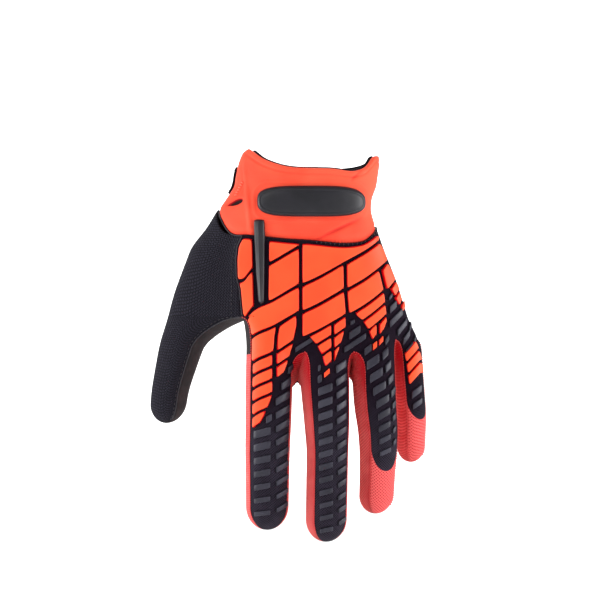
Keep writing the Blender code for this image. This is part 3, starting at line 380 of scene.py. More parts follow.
def finger_weight(ray, u, drop, palm):
    """Share of the finger tube in the surface, 0 on the hand and 1 down the finger.

    Inside a ray it is a smooth step about the crotch. At a border it starts at the
    crotch itself, as a quarter circle, which rounds the crotch into a U."""
    left, right = gaps_of(ray)
    if ray == "thumb":
        inner = step((drop / HAND_LENGTH - 0.025) / 0.15)
    else:
        middle = mix(crotch(left, palm), crotch(right, palm), u)
        inner = step((drop - middle + CROTCH_BLEND) / (2 * CROTCH_BLEND))
    at_left = (1 - u) ** 6 if left else 0 * u
    at_right = u ** 6
    left_edge = corner(left, drop, palm) if left else 0
    right_edge = corner(right, drop, palm)
    return inner * (1 - at_left - at_right) + left_edge * at_left + right_edge * at_right


def corner(gap, drop, palm):
    """Rise from 0 at a crotch to 1 at the end of its rounded corner: a quarter circle
    on the back, and a parabola on the palm, where the fold is softer."""
    reach = CROTCHES[gap][2] / 100 * HAND_LENGTH
    t = np.clip((drop - crotch(gap, palm)) / reach, 0, 1)
    rise = 1 - (1 - t) ** 2
    return rise if palm else np.sqrt(rise)


def ray_point(ray, u, drop, scale=1.0, palm=False):
    """Point of the back or palm surface at share u across a ray."""
    first, last = borders(ray, drop, palm)
    left, right = TUBE_SEAMS[ray][2:] if palm else TUBE_SEAMS[ray][:2]
    on_hand = hand(mix(first, last, u), drop)
    on_tube = tube(ray, mix(left, right, u), drop, scale)
    return mix(on_hand, on_tube, finger_weight(ray, u, drop, palm)[..., None])


def root_drop(ray, u, palm):
    """Drop of the row where a ray's finger begins."""
    left, right = gaps_of(ray)
    start = crotch(left or right, False if not left else palm)
    return mix(start, crotch(right, palm), u)


def hand_patch(ray, columns, palm):
    """Grid of a ray from the cuff seam to the root of its finger."""
    u = np.linspace(0, 1, columns + 1)[None]
    rows = HAND_ROWS[:, None]
    end = root_drop(ray, u, palm)
    start = end * 0
    # The seam's drop and the borders hang on each other, so they are read in turn
    for _ in range(6):
        first, last = borders(ray, start, palm)
        start = seam_drop(mix(first, last, u))
    drop = mix(start, end, rows)
    return ray_point(ray, u, drop, 1.0, palm)


def finger_rows(ray, start):
    """Drops and cap scales down a finger from a starting drop."""
    rows = FINGER_ROWS[:, None]
    cap_start, length = cap(ray)
    turn = CAP_TURN * np.clip((rows - CAP_START) / (1 - CAP_START), 0, 1)
    straight = np.clip(rows / CAP_START, 0, 1)
    drop = mix(start, cap_start, straight) + length * np.sin(turn)
    return drop, np.cos(turn) + 0 * start


def finger_patch(ray, columns, palm):
    """Grid of a ray from the root of its finger to the end of the tube's cap."""
    u = np.linspace(0, 1, columns + 1)[None]
    drop, scale = finger_rows(ray, root_drop(ray, u, palm))
    return ray_point(ray, u, drop, scale, palm)


def side_half(ray, at_right):
    """One side of a finger, from the back seam (column 0) to the palm seam.

    The tube's arc is shifted at its ends to meet both seams, and at the crotch it
    turns into the straight line between them."""
    w = np.linspace(0, 1, SIDE_COLUMNS + 1)[None]
    u = np.array([[1.0 if at_right else 0.0]])
    back_drop, scale = finger_rows(ray, root_drop(ray, u, False))
    palm_drop = finger_rows(ray, root_drop(ray, u, True))[0]
    back = ray_point(ray, u, back_drop, scale, False)
    palm = ray_point(ray, u, palm_drop, scale, True)
    seams = TUBE_SEAMS[ray]
    start, end = (seams[1], seams[3] + 360) if at_right else (seams[0], seams[2])
    arc = tube(ray, mix(start, end, w), mix(back_drop, palm_drop, w), scale)
    shift = mix(back - arc[:, :1], palm - arc[:, -1:], w[..., None])
    gap = gaps_of(ray)[1 if at_right else 0]
    share = corner(gap, back_drop, False)[..., None]
    return mix(mix(back, palm, w[..., None]), arc + shift, share)


def strip(left_ray, right_ray):
    """Side strip from one fingertip over the crotch to the next fingertip."""
    left = side_half(left_ray, True)[::-1]
    right = side_half(right_ray, False)
    right[0] = left[-1]
    return np.concatenate([left, right[1:]])


def channel(number, x):
    """Drop of a slanted channel's middle at x: its offset plus the sweep that all share.
    Number 0 is the cuff seam, and past the table the channels go on at its last pitch."""
    if number == 0:
        return seam_drop(hand_angle(x, 0 * x + 0.14 * HAND_LENGTH))
    past = max(number - len(CHANNELS) + 1, 0)
    offset = CHANNELS[number - past] + past * (CHANNELS[-1] - CHANNELS[-2])
    return (offset + smooth(SWEEP, x / HAND_WIDTH * 100)[..., 0]) / 100 * HAND_LENGTH


def panel_edge(shift):
    """Function giving x of the back panel's left edge at a drop."""
    return lambda drop: ray_point("index", 0 * drop, drop)[..., 0] + shift


def side_line(name, shift=0.0):
    """Function giving x of a pattern line at a drop."""
    return lambda drop: line(LINES[name], drop / HAND_LENGTH * 100) / 100 * HAND_WIDTH + shift


def channel_line(number, shift=0.0):
    """Function giving the drop of a slanted channel at x."""
    return lambda x: channel(number, x) + shift


# The back surface as a map

MAP_STEP = 0.0005
MAP_X = np.arange(-0.095, 0.078, MAP_STEP)
MAP_DROP = np.arange(-0.026, 0.2, MAP_STEP)


def depth_map():
    """Depth y of the back surface over x and drop: each row reads all rays' points."""
    u = np.linspace(0, 1, 41)[None]
    column = MAP_DROP[:, None]
    spots = [ray_point(ray, u + 0 * column, column + 0 * u) for ray in ("thumb",) + RAYS]
    x = np.concatenate([spot[..., 0] for spot in spots], 1)
    y = np.concatenate([spot[..., 1] for spot in spots], 1)
    order = np.argsort(x, axis=1)
    x, y = np.take_along_axis(x, order, 1), np.take_along_axis(y, order, 1)
    return np.stack([np.interp(MAP_X, xs, ys) for xs, ys in zip(x, y)])


DEPTHS = depth_map()


def front(x, drop):
    """Points of the back surface at x and drop, read between the four nearest map values."""
    a = np.clip((x - MAP_X[0]) / MAP_STEP, 0, len(MAP_X) - 1.001)
    b = np.clip((drop - MAP_DROP[0]) / MAP_STEP, 0, len(MAP_DROP) - 1.001)
    i, j = a.astype(int), b.astype(int)
    s, t = a - i, b - j
    y = mix(mix(DEPTHS[j, i], DEPTHS[j, i + 1], s), mix(DEPTHS[j + 1, i], DEPTHS[j + 1, i + 1], s), t)
    return np.stack([x, y, -drop], -1)


def front_normal(x, drop, reach=0.001):
    """Outward normal of the back surface, from its slopes over twice the reach."""
    slope_x = (front(x + reach, drop) - front(x - reach, drop))[..., 1] / (2 * reach)
    slope_z = (front(x, drop - reach) - front(x, drop + reach))[..., 1] / (2 * reach)
    normal = np.stack([np.clip(slope_x, -1.6, 1.6), -1 + 0 * slope_x, slope_z], -1)
    return normal / np.linalg.norm(normal, axis=-1, keepdims=True)


# Meshes

def paint(code):
    """Linear colour of an sRGB hex value."""
    parts = np.array([int(code[k:k + 2], 16) for k in (1, 3, 5)]) / 255
    linear = np.where(parts <= 0.04045, parts / 12.92, ((parts + 0.055) / 1.055) ** 2.4)
    return (*[float(v) for v in linear], 1.0)


def arc_uv(grid):
    """Lengths across a grid from its middle and down its columns, in metres."""
    across = np.linalg.norm(np.diff(grid, axis=1), axis=-1)
    down = np.linalg.norm(np.diff(grid, axis=0), axis=-1)
    u = np.concatenate([np.zeros((len(grid), 1)), np.cumsum(across, 1)], 1)
    u -= u[:, -1:] / 2
    v = np.concatenate([np.zeros((1, grid.shape[1])), np.cumsum(down, 0)], 0)
    return np.stack([u, v], -1)


def flat_uv(grid):
    """Places x and drop of a grid, in metres."""
    return np.stack([grid[..., 0], -grid[..., 2]], -1)


WELD = 2e-6                  # corners in one cell of this size become one
WELD_SHIFT = 0.3717          # keeps the glove's own planes off the edges of the cells


def piece(name, grids, look, uvs=None, values=None, wall=0.0):
    """Mesh from grids of points, each with a flip flag.

    Corners closer than two micrometres become one, and every cell is cut in two
    triangles, of which those with two like corners are left out."""
    points = np.concatenate([grid.reshape(-1, 3) for grid, _ in grids])
    uvs = uvs or [flat_uv(grid) for grid, _ in grids]
    uv = np.concatenate([item.reshape(-1, 2) for item in uvs])
    faces, start = [], 0
    for grid, flip in grids:
        rows, columns = grid.shape[:2]
        at = start + np.arange(rows * columns).reshape(rows, columns)
        a, b, c, d = at[:-1, :-1], at[1:, :-1], at[1:, 1:], at[:-1, 1:]
        pair = np.concatenate([np.stack([a, b, c], -1).reshape(-1, 3),
                               np.stack([a, c, d], -1).reshape(-1, 3)])
        faces.append(pair[:, ::-1] if flip else pair)
        start += rows * columns
    faces = np.concatenate(faces)
    cells = np.floor(points / WELD + WELD_SHIFT).astype(np.int64)
    _, first, back = np.unique(cells, axis=0, return_index=True, return_inverse=True)
    back = back.reshape(-1)
    joined = back[faces]
    whole = ((joined[:, 0] != joined[:, 1]) & (joined[:, 1] != joined[:, 2])
             & (joined[:, 2] != joined[:, 0]))
    joined, faces = joined[whole], faces[whole]
    made = bpy.data.meshes.new(name)
    made.vertices.add(len(first))
    made.vertices.foreach_set("co", points[first].ravel())
    made.loops.add(joined.size)
    made.loops.foreach_set("vertex_index", joined.ravel().astype(np.int32))
    made.polygons.add(len(joined))
    made.polygons.foreach_set("loop_start", np.arange(0, joined.size, 3, dtype=np.int32))
    made.polygons.foreach_set("loop_total", np.full(len(joined), 3, np.int32))
    layer = made.uv_layers.new(name="mm")
    layer.data.foreach_set("uv", (uv[faces.ravel()] * 1000).ravel())
    for key, parts in (values or {}).items():
        attribute = made.attributes.new(key, "FLOAT", "POINT")
        flat = np.concatenate([part.reshape(-1) for part in parts])
        attribute.data.foreach_set("value", flat[first].astype(np.float32))
    made.update(calc_edges=True)
    made.validate()
    made.shade_smooth()
    made.materials.append(look)
    thing = bpy.data.objects.new(name, made)
    bpy.context.scene.collection.objects.link(thing)
    if wall:
        skin = thing.modifiers.new("wall", "SOLIDIFY")
        skin.thickness = wall
        skin.offset = -1
    return thing


def place(thing, slot, *nodes):
    """Attach a piece to the one body and hide the nodes it stands for; slot is not used."""
    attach(thing, "root")
    if nodes:
        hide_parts(*nodes)
    return thing


def grid_normals(grid):
    """Normals of a grid, across the columns and down the rows."""
    normal = np.cross(np.gradient(grid, axis=0), np.gradient(grid, axis=1))
    return normal / np.maximum(np.linalg.norm(normal, axis=-1, keepdims=True), 1e-12)


def resample(path, spacing):
    """Points of a path at an even spacing, and its running directions."""
    length = np.concatenate([[0], np.cumsum(np.linalg.norm(np.diff(path, axis=0), axis=-1))])
    at = np.linspace(0, length[-1], max(int(length[-1] / spacing), 2))
    points = np.stack([np.interp(at, length, path[:, k]) for k in range(3)], -1)
    along = np.gradient(points, axis=0)
    return points, along / np.linalg.norm(along, axis=-1, keepdims=True)


def tube_mesh(name, paths, radius, look):
    """Cords along paths: a round profile carried along each, closed at its ends."""
    grids = []
    turn = np.linspace(0, 2 * np.pi, 9)
    for path, out in paths:
        along = np.gradient(path, axis=0)
        along /= np.linalg.norm(along, axis=-1, keepdims=True)
        side = np.cross(along, out)
        side /= np.linalg.norm(side, axis=-1, keepdims=True)
        up = np.cross(side, along)
        size = np.full(len(path), radius)
        size[[0, -1]] = 0
        ring = (np.cos(turn)[None, :, None] * side[:, None]
                + np.sin(turn)[None, :, None] * up[:, None])
        grids.append((path[:, None] + ring * size[:, None, None], False))
    return piece(name, grids, look, [arc_uv(grid) for grid, _ in grids])


def stitches(name, runs, look, length=0.0016, radius=0.00022, spacing=0.0024):
    """Threads along runs of points: each is a short capsule, bowed off the cloth.

    A run is its path, the outward directions and the share by which a thread turns
    from along the path (0) to across it (1)."""
    t = np.linspace(-1, 1, 7)
    width = np.sqrt(np.clip(1 - np.abs(t) ** 4, 0, 1))
    bow = 0.7 * (1 - t**2) - 0.4
    turn = np.linspace(0, 2 * np.pi, 7)
    grids = []
    for path, out, across in runs:
        points, along = resample(path, spacing)
        near = np.linspace(0, len(out) - 1, len(points)).astype(int)
        up = out[near]
        side = np.cross(along, up)
        side /= np.linalg.norm(side, axis=-1, keepdims=True)
        run = along * (1 - across) + side * across
        run /= np.linalg.norm(run, axis=-1, keepdims=True)
        wing = np.cross(up, run)
        centre = (points[:, None] + run[:, None] * (t * length / 2)[None, :, None]
                  + up[:, None] * (bow * radius * 1.6)[None, :, None])
        ring = (np.cos(turn)[None, None, :, None] * wing[:, None, None]
                + np.sin(turn)[None, None, :, None] * up[:, None, None])
        shape = centre[:, :, None] + ring * (width * radius)[None, :, None, None]
        grids += [(item, True) for item in shape]
    return piece(name, grids, look, [arc_uv(grid) for grid, _ in grids])


# Materials

MATH, RANGE, MIX = "ShaderNodeMath", "ShaderNodeMapRange", "ShaderNodeMix"
ATTRIBUTE = "ShaderNodeAttribute"
SOFT = {"interpolation_type": "SMOOTHSTEP"}


def add(tree, kind, inputs=(), out=0, **settings):
    """Add a node with its settings and links; an input is a value or a node's output."""
    made = tree.nodes.new(kind)
    for key, value in settings.items():
        setattr(made, key, value)
    for socket, value in dict(inputs).items():
        if isinstance(value, bpy.types.NodeSocket):
            tree.links.new(value, made.inputs[socket])
        else:
            made.inputs[socket].default_value = value
    return made.outputs[out]


def finish_of(name, **sockets):
    """New material with its Principled shader's own sockets set."""
    made = bpy.data.materials.new(name)
    made.use_nodes = True
    shader = made.node_tree.nodes["Principled BSDF"]
    for socket, value in sockets.items():
        shader.inputs[socket.replace("_", " ")].default_value = value
    return made, made.node_tree, shader


def dress(tree, shader, colour, height=None, distance=0.0, strength=1.0):
    """Give a shader its colour, and the bump of a height over a distance in metres."""
    tree.links.new(colour, shader.inputs["Base Color"])
    if height:
        bump = add(tree, "ShaderNodeBump",
                   {"Height": height, "Distance": distance, "Strength": strength})
        tree.links.new(bump, shader.inputs["Normal"])


def cloth_axes(tree):
    """The two lengths of the piece's UV map, in millimetres."""
    uv = add(tree, "ShaderNodeUVMap", uv_map="mm")
    u = add(tree, "ShaderNodeSeparateXYZ", {0: uv})
    return u, u.node.outputs[1]


def ripples(tree, *waves):
    """Sine of a length with its period, both in millimetres, or the product of two."""
    sines = []
    for length, period in waves:
        turned = add(tree, MATH, {0: length, 1: 2 * np.pi / period}, operation="MULTIPLY")
        sines.append(add(tree, MATH, {0: turned}, operation="SINE"))
    if len(sines) == 1:
        return sines[0]
    return add(tree, MATH, dict(enumerate(sines)), operation="MULTIPLY")


def specks(tree, size, detail):
    """Grain of a size in metres over Object coordinates."""
    here = add(tree, "ShaderNodeTexCoord", out="Object")
    return add(tree, "ShaderNodeTexNoise", {"Vector": here, "Scale": 1 / size, "Detail": detail})


def clouds(tree, size, detail=2.0, most=1.0):
    """Soft patches of a size in metres, from 0 to a most."""
    noise = specks(tree, size, detail)
    return add(tree, RANGE, {"Value": noise, "From Min": 0.3, "From Max": 0.7, "To Max": most},
               **SOFT)


def coats(tree, body, *layers):
    """Colours laid over a body colour in turn, each by its share."""
    for share, colour in layers:
        body = add(tree, MIX, {0: share, 6: body, 7: colour}, out=2, data_type="RGBA")
    return body


def silicone_rubber(name, colour, wall_shade_colour, light, rough):
    """Moulded silicone rubber: satin faces, a painted highlight on the rounded rims, and
    side walls of a deeper colour as painted shade. The attribute rim is 1 on the walls and 0 on the
    face."""
    made, tree, shader = finish_of(name, Roughness=rough, IOR=1.43, Specular_IOR_Level=0.35)
    rim = add(tree, ATTRIBUTE, out="Fac", attribute_name="rim")
    # Painted highlight on the rounded edge and painted shade on the side walls, both set by the rim
    # attribute
    painted_rim_highlight = add(tree, RANGE, {"Value": rim, "From Min": 0.05, "From Max": 0.25, "To Max": 0.7}, **SOFT)
    wall = add(tree, RANGE, {"Value": rim, "From Min": 0.28, "From Max": 0.5}, **SOFT)
    face = coats(tree, colour, (clouds(tree, 0.02, 1.0, 0.22), light), (painted_rim_highlight, light),
                 (wall, wall_shade_colour))
    # Grain of about 0.25 mm from the mould
    grit = specks(tree, 0.00025, 3.0)
    dress(tree, shader, face, grit, 0.00003, 0.5)
    return made


def holed_mesh(name, colour, hole_colour, pitch, glow, fuzz, top_coats):
    """Warp-knitted polyester mesh: rows of small holes set between each other, and a soft
    fuzz that lightens the edges.

    A hole is where the product of two sines is high. Along a row the holes are drawn
    1.5 mm apart on the black mesh and 1.9 mm on the coral. That is a guess, likely coarser
    than the real mesh, whose holes are too small to measure in the photo."""
    made, tree, shader = finish_of(name, Roughness=0.8, IOR=1.4, Sheen_Weight=fuzz,
                                   Sheen_Roughness=0.35, Sheen_Tint=glow,
                                   Specular_IOR_Level=0.15)
    u, v = cloth_axes(tree)
    holes = ripples(tree, (u, 2 * pitch[0]), (v, 2 * pitch[1]))
    hole = add(tree, RANGE, {"Value": holes, "From Min": 0.0, "From Max": 0.5}, **SOFT)
    share = add(tree, MATH, {0: hole, 1: 0.95}, operation="MULTIPLY")
    body = coats(tree, colour, (clouds(tree, 0.009, 2.0, 0.35), hole_colour), (share, hole_colour))
    thread = ripples(tree, (v, pitch[1] / 2))
    pit = add(tree, MATH, {0: hole, 1: -1.0}, operation="MULTIPLY")
    height = add(tree, MATH, {0: thread, 1: 0.15, 2: pit}, operation="MULTIPLY_ADD")
    dress(tree, shader, top_coats(tree, body), height, 0.00035)
    return made


def painted_gap_shade(tree, body):
    """Coat of painted shade that darkens a side strip between the fingers, by an attribute."""
    painted_shade = add(tree, ATTRIBUTE, out="Fac", attribute_name="painted_shade")
    return coats(tree, body, (painted_shade, bpy.context.scene.glove_colours.coral_hole_and_shade))


def back_coats(tree, body):
    """Printed backing under the tiles, by the attribute film, and coral mesh where the
    attribute coral, a signed distance in millimetres, is over 0."""
    film = add(tree, ATTRIBUTE, out="Fac", attribute_name="film")
    past = add(tree, ATTRIBUTE, out="Fac", attribute_name="coral")
    past = add(tree, RANGE, {"Value": past, "From Min": -0.15, "From Max": 0.15}, **SOFT)
    u, v = cloth_axes(tree)
    hole = add(tree, RANGE, {"Value": ripples(tree, (u, 1.9), (v, 1.8)), "From Min": 0.1,
                             "From Max": 0.6, "To Max": 0.9}, **SOFT)
    tones = bpy.context.scene.glove_colours
    coral = coats(tree, tones.coral, (hole, tones.coral_hole_and_shade))
    return coats(tree, body, (film, paint("#190E1C")), (past, coral))


def ribbed_knit(name, colour, groove_shade_colour, period, glow):
    """Ribbed elastane knit: fine ribs across the finger with stitches along each rib.
    They are drawn 1.3 mm apart. That is a guess, likely coarser than the real ribs, which
    are too fine to measure in the photo."""
    made, tree, shader = finish_of(name, Roughness=0.75, IOR=1.5, Sheen_Weight=0.35,
                                   Sheen_Roughness=0.35, Sheen_Tint=glow,
                                   Specular_IOR_Level=0.15)
    u, v = cloth_axes(tree)
    rib = ripples(tree, (v, period))
    loop = ripples(tree, (u, period * 0.8), (v, period))
    # Painted shade darkens the grooves between the ribs
    painted_groove_shade = add(tree, RANGE, {"Value": rib, "From Min": 0.0, "From Max": -1.0, "To Max": 0.4},
                 **SOFT)
    body = coats(tree, colour, (clouds(tree, 0.011, 2.0, 0.3), groove_shade_colour),
                 (painted_groove_shade, groove_shade_colour))
    height = add(tree, MATH, {0: loop, 1: 0.5, 2: rib}, operation="MULTIPLY_ADD")
    dress(tree, shader, painted_gap_shade(tree, body), height, 0.00016)
    return made


def dark_knit(name, colour, light, period, glow):
    """Black nylon knit: small loops set on the diagonal, with a painted highlight on them that reads
    as fine diamonds.
    """
    made, tree, shader = finish_of(name, Roughness=0.85, IOR=1.4, Sheen_Weight=0.06,
                                   Sheen_Roughness=0.4, Sheen_Tint=glow,
                                   Specular_IOR_Level=0.2)
    u, v = cloth_axes(tree)
    rising, falling = (add(tree, MATH, {0: u, 1: v}, operation=kind) for kind in ("ADD", "SUBTRACT"))
    loops = ripples(tree, (rising, 2.8 * period), (falling, 2.8 * period))
    size = add(tree, MATH, {0: loops}, operation="ABSOLUTE")
    # Painted highlight on the loops, where the loop pattern is strongest
    raised = add(tree, RANGE, {"Value": size, "From Min": 0.1, "From Max": 0.8}, **SOFT)
    dress(tree, shader, coats(tree, colour, (raised, light)), loops, 0.00022)
    return made


def suede(name, colour, light):
    """Synthetic suede: a short dense nap with a fine cloudy grain, no gloss."""
    made, tree, shader = finish_of(name, Roughness=0.9, IOR=1.4, Sheen_Weight=0.25,
                                   Sheen_Roughness=0.5, Sheen_Tint=paint("#8A8084"))
    nap = specks(tree, 0.0005, 4.0)
    dress(tree, shader, coats(tree, colour, (clouds(tree, 0.005, 4.0), light)), nap, 0.00018)
    return made


def neoprene(name, colour, painted_shade, light):
    """Neoprene foam under a fine nylon jersey: soft, hardly shiny, with loops of about
    0.5 mm, and painted shade that darkens its folds. One attribute is 1 at a fold's floor, where the
    painted shade is deepest, and slit is 1 inside the slit, whose painted shade is red at the rim and
    near black inside."""
    made, tree, shader = finish_of(name, Roughness=0.7, IOR=1.4, Sheen_Weight=0.12,
                                   Sheen_Roughness=0.3, Sheen_Tint=light,
                                   Specular_IOR_Level=0.3)
    painted_fold_shade, slit = (add(tree, ATTRIBUTE, out="Fac", attribute_name=key) for key in ("painted_fold_shade", "slit"))
    painted_fold_shade = add(tree, RANGE, {"Value": painted_fold_shade, "From Min": 0.1, "From Max": 1.0, "To Max": 0.8}, **SOFT)
    rim, inside = (add(tree, RANGE, {"Value": slit, "From Min": low, "From Max": low + 0.4}, **SOFT)
                   for low in (0.1, 0.5))
    # Painted shade: a deeper red in the folds, red at the slit's rim and near black inside it
    body = coats(tree, colour, (clouds(tree, 0.03, 2.0, 0.3), light), (painted_fold_shade, painted_shade),
                 (rim, paint("#A8101A")), (inside, paint("#1C0406")))
    u, v = cloth_axes(tree)
    foam = specks(tree, 0.0012, 3.0)
    height = add(tree, MATH, {0: ripples(tree, (u, 1.1), (v, 0.9)), 1: 0.4, 2: foam},
                 operation="MULTIPLY_ADD")
    dress(tree, shader, body, height, 0.00008)
    return made


def plain_thread(name, colour, light):
    """Bonded nylon thread: smooth, with a slight shine and twists of about 0.6 mm."""
    made, tree, shader = finish_of(name, Roughness=0.5, IOR=1.5)
    u, v = cloth_axes(tree)
    twist = ripples(tree, (add(tree, MATH, {0: u, 1: v}, operation="ADD"), 0.6))
    # Painted highlight on the raised side of each twist
    share = add(tree, RANGE, {"Value": twist, "From Min": -1.0}, **SOFT)
    dress(tree, shader, coats(tree, colour, (share, light)), twist, 0.00005)
    return made


def moulded_bar_finish(name, colour, light):
    """Moulded thermoplastic rubber with a fine spark-eroded skin and a soft sheen."""
    made, tree, shader = finish_of(name, Roughness=0.42, IOR=1.47, Specular_IOR_Level=0.4)
    skin = specks(tree, 0.0003, 3.0)
    dress(tree, shader, coats(tree, colour, (clouds(tree, 0.01), light)), skin, 0.00002, 0.6)
    return made


def coated_board(name, colour, light):
    """Matt white painted board of the studio floor, with a faint mottling."""
    made, tree, shader = finish_of(name, Roughness=0.9)
    dress(tree, shader, coats(tree, colour, (clouds(tree, 0.3), light)))
    return made


FINISHES = {}


def finish(name):
    """A finish of the glove, made once from the user's colours."""
    if name in FINISHES:
        return FINISHES[name]
    tones = bpy.context.scene.glove_colours
    red_glow = paint("#FFB0A0")
    recipes = {
        # The tiles' and bars' light colours give random tone and the painted rim highlight; their
        # side colours are painted wall shade
        "tile": (silicone_rubber, "silicone_rubber_orange", tones.tile, tones.tile_wall_shade,
                 paint("#FF7038"), 0.45),
        "bar": (silicone_rubber, "silicone_rubber_graphite", tones.bar, paint("#1C1B22"),
                paint("#545262"), 0.4),
        "base": (holed_mesh, "polyester_mesh_black", tones.base, paint("#050306"), (0.75, 0.75),
                 paint("#5A5566"), 0.05, back_coats),
        "coral": (holed_mesh, "polyester_mesh_coral", tones.coral, tones.coral_hole_and_shade, (0.95, 0.9),
                  red_glow, 0.35, painted_gap_shade),
        "ribbed": (ribbed_knit, "ribbed_elastane_knit_coral", tones.coral, tones.coral_hole_and_shade, 1.3,
                   red_glow),
        "knit": (dark_knit, "nylon_knit_black", tones.knit, paint("#2A2833"), 1.15,
                 paint("#7A7888")),
        "palm": (suede, "synthetic_suede_dark", tones.palm, paint("#2A2526")),
        # The cuff's second colour is the painted shade of its folds
        "cuff": (neoprene, "neoprene_jersey_orange", tones.cuff, paint("#C81418"),
                 paint("#FF7A58")),
        "lining": (dark_knit, "brushed_nylon_lining", paint("#141217"), paint("#2A272E"), 0.9,
                   paint("#5A5662")),
        "thread": (plain_thread, "bonded_nylon_thread_black", paint("#17141B"), paint("#2E2A34")),
        "red_thread": (plain_thread, "bonded_nylon_thread_red", paint("#D8202A"),
                       paint("#F0504A")),
        "cuff_thread": (plain_thread, "bonded_nylon_thread_orange", paint("#F85A40"),
                        paint("#FF8A6C")),
        "plate": (moulded_bar_finish, "moulded_rubber_graphite", tones.plate, paint("#1B1A21")),
        "board": (coated_board, "matt_painted_board", paint("#F6F6F6"), paint("#FAFAFA")),
    }
    make, *values = recipes[name]
    FINISHES[name] = make(*values)
    return FINISHES[name]


# The glove's cloth

# Rounded end of a finger's dark strip: drop of its end and length of its rounding, metres
STRIP_ENDS = {"ring": (0.1575, 0.016), "little": (0.1290, 0.013)}
# The printed backing under the tiles ends at this drop, and fades over this length
FILM_END, FILM_FADE = 0.142, 0.03


def coral_distance(ray, grid):
    """How far a point of a strip lies past the strip's rounded end, in millimetres."""
    rows, columns = grid.shape[:2]
    if ray not in STRIP_ENDS:
        return np.full((rows, columns), -5.0)
    end, round_length = STRIP_ENDS[ray]
    across = np.linspace(-1, 1, columns)[None] * 0.98
    reach = end - round_length * (1 - np.sqrt(1 - across**2))
    return (-grid[..., 2] - reach) * 1000


def back_of_ray(ray, columns):
    """Back of a ray from the cuff's seam to its finger's tip."""
    return np.concatenate([hand_patch(ray, columns, False), finger_patch(ray, columns, False)[1:]])


def panel(name, grids, look, slot, node, values=None, flat=False):
    """Cloth panel with its wall; a flat one is mapped along x and z."""
    uvs = None if flat else [arc_uv(grid) for grid, _ in grids]
    place(piece(name, grids, finish(look), uvs, values, PANEL_WALL), slot, node)


def make_back():
    """Back of the hand: the backs of the four rays, with how far each point lies past the
    coral mesh's edge and whether it is under the tiles."""
    grids, far, film = [], [], []
    for ray in RAYS:
        grid = back_of_ray(ray, ACROSS)
        grids.append((grid, False))
        far.append(coral_distance(ray, grid))
        film.append(step((FILM_END + grid[..., 2]) / FILM_FADE))
    panel("back_of_hand_mesh", grids, "base", "base_mesh", "back_panel",
          {"coral": far, "film": film})


def closing(ray):
    """Disc that closes a fingertip: its last ring drawn straight to the tip's middle, and
    along its height by the sine of a quarter turn."""
    ring = tip_ring(ray)
    tip = np.array([ring[:, 0].mean(), ring[:, 1].mean(), -FINGERS[ray][0] / 100 * HAND_LENGTH])
    t = np.linspace(0, 1, 6)[:, None, None]
    bulge = ring[None] * (1 - t) + tip * t
    bulge[..., 2] = mix(ring[None, :, 2], tip[2], np.sin(t[..., 0] * np.pi / 2))
    return bulge


def tip_ring(ray):
    """Last ring round a fingertip: back, right side, front and left side."""
    thumb = ray == "thumb"
    parts = [finger_patch(ray, ACROSS * (2 if thumb else 1), False)[-1],
             side_half(ray, True)[-1][1:], finger_patch(ray, ACROSS, True)[-1][::-1][1:]]
    if not thumb:
        parts.append(side_half(ray, False)[-1][::-1][1:])
    ring = np.concatenate(parts)
    if thumb:
        ring[-1] = ring[0]
    return ring


def make_palm():
    """Palm: the palm sides of the four rays and the discs that close their fingertips."""
    grids = [(grid, True) for ray in RAYS
             for grid in (hand_patch(ray, ACROSS, True), finger_patch(ray, ACROSS, True))]
    grids += [(closing(ray), False) for ray in RAYS]
    panel("palm_suede", grids, "palm", "palm_leather", "palm_panel", flat=True)


def make_thumb():
    """Thumb: the ray's back in knit, and its palm side and tip in suede."""
    knit = back_of_ray("thumb", 2 * ACROSS)
    panel("thumb_knit", [(knit, False)], "knit", "knit", "thumb_back")
    grids = [(grid, True) for grid in (hand_patch("thumb", ACROSS, True),
                                       finger_patch("thumb", ACROSS, True))]
    grids.append((closing("thumb"), False))
    panel("thumb_suede", grids, "palm", "palm_leather", "thumb_palm", flat=True)


def strip_gap_shade(grid, near_root):
    """Painted shade of each point of a strip, for how deep in a gap it lies: a bell curve of its
    drop about the crotch, and a dark line of painted shade that fades across the strip from the
    back's seam."""
    across = np.linspace(0, 1, grid.shape[1])[None]
    root = bell(-grid[..., 2] + near_root, 0.02)
    beside = np.clip(1 - across / 0.45, 0, 1) ** 1.5
    return np.clip(0.85 * root + 0.3 * beside, 0, 1)


WEB_REACH = 0.22             # the suede web covers this share of the index finger's side
CROTCH_SHADE = 0.006         # the strips are deepest this far below their crotch


def make_sides():
    """Side strips: each runs from one fingertip over the crotch to the next fingertip."""
    web = strip("thumb", "index")
    turn = len(web) // 2
    turn += int(WEB_REACH * (len(web) - turn))
    panel("thumb_web_suede", [(web[:turn + 1], True)], "palm", "palm_leather", "thumb_web")
    outer = web[turn:]
    panel("index_side_knit", [(outer, True)], "ribbed", "coral_mesh", "side_index",
          {"painted_shade": [0 * outer[..., 0]]})
    for left, right, look in (("index", "middle", "ribbed"), ("middle", "ring", "coral"),
                              ("ring", "little", "coral")):
        grid = strip(left, right)
        # Painted shade between the fingers, deepest just below the crotch
        root = np.max(grid[..., 2]) - CROTCH_SHADE
        panel(f"side_strip_{left}_{right}", [(grid, True)], look, "coral_mesh",
              f"fourchette_{left}_{right}", {"painted_shade": [strip_gap_shade(grid, root)]})
    outer = side_half("little", True)
    panel("little_side_mesh", [(outer, False)], "coral", "coral_mesh", "side_little",
          {"painted_shade": [0 * outer[..., 0]]})


# Cuff, lining, bar, tongue and tab

CUFF_TURN = np.linspace(-95, 265, 361)


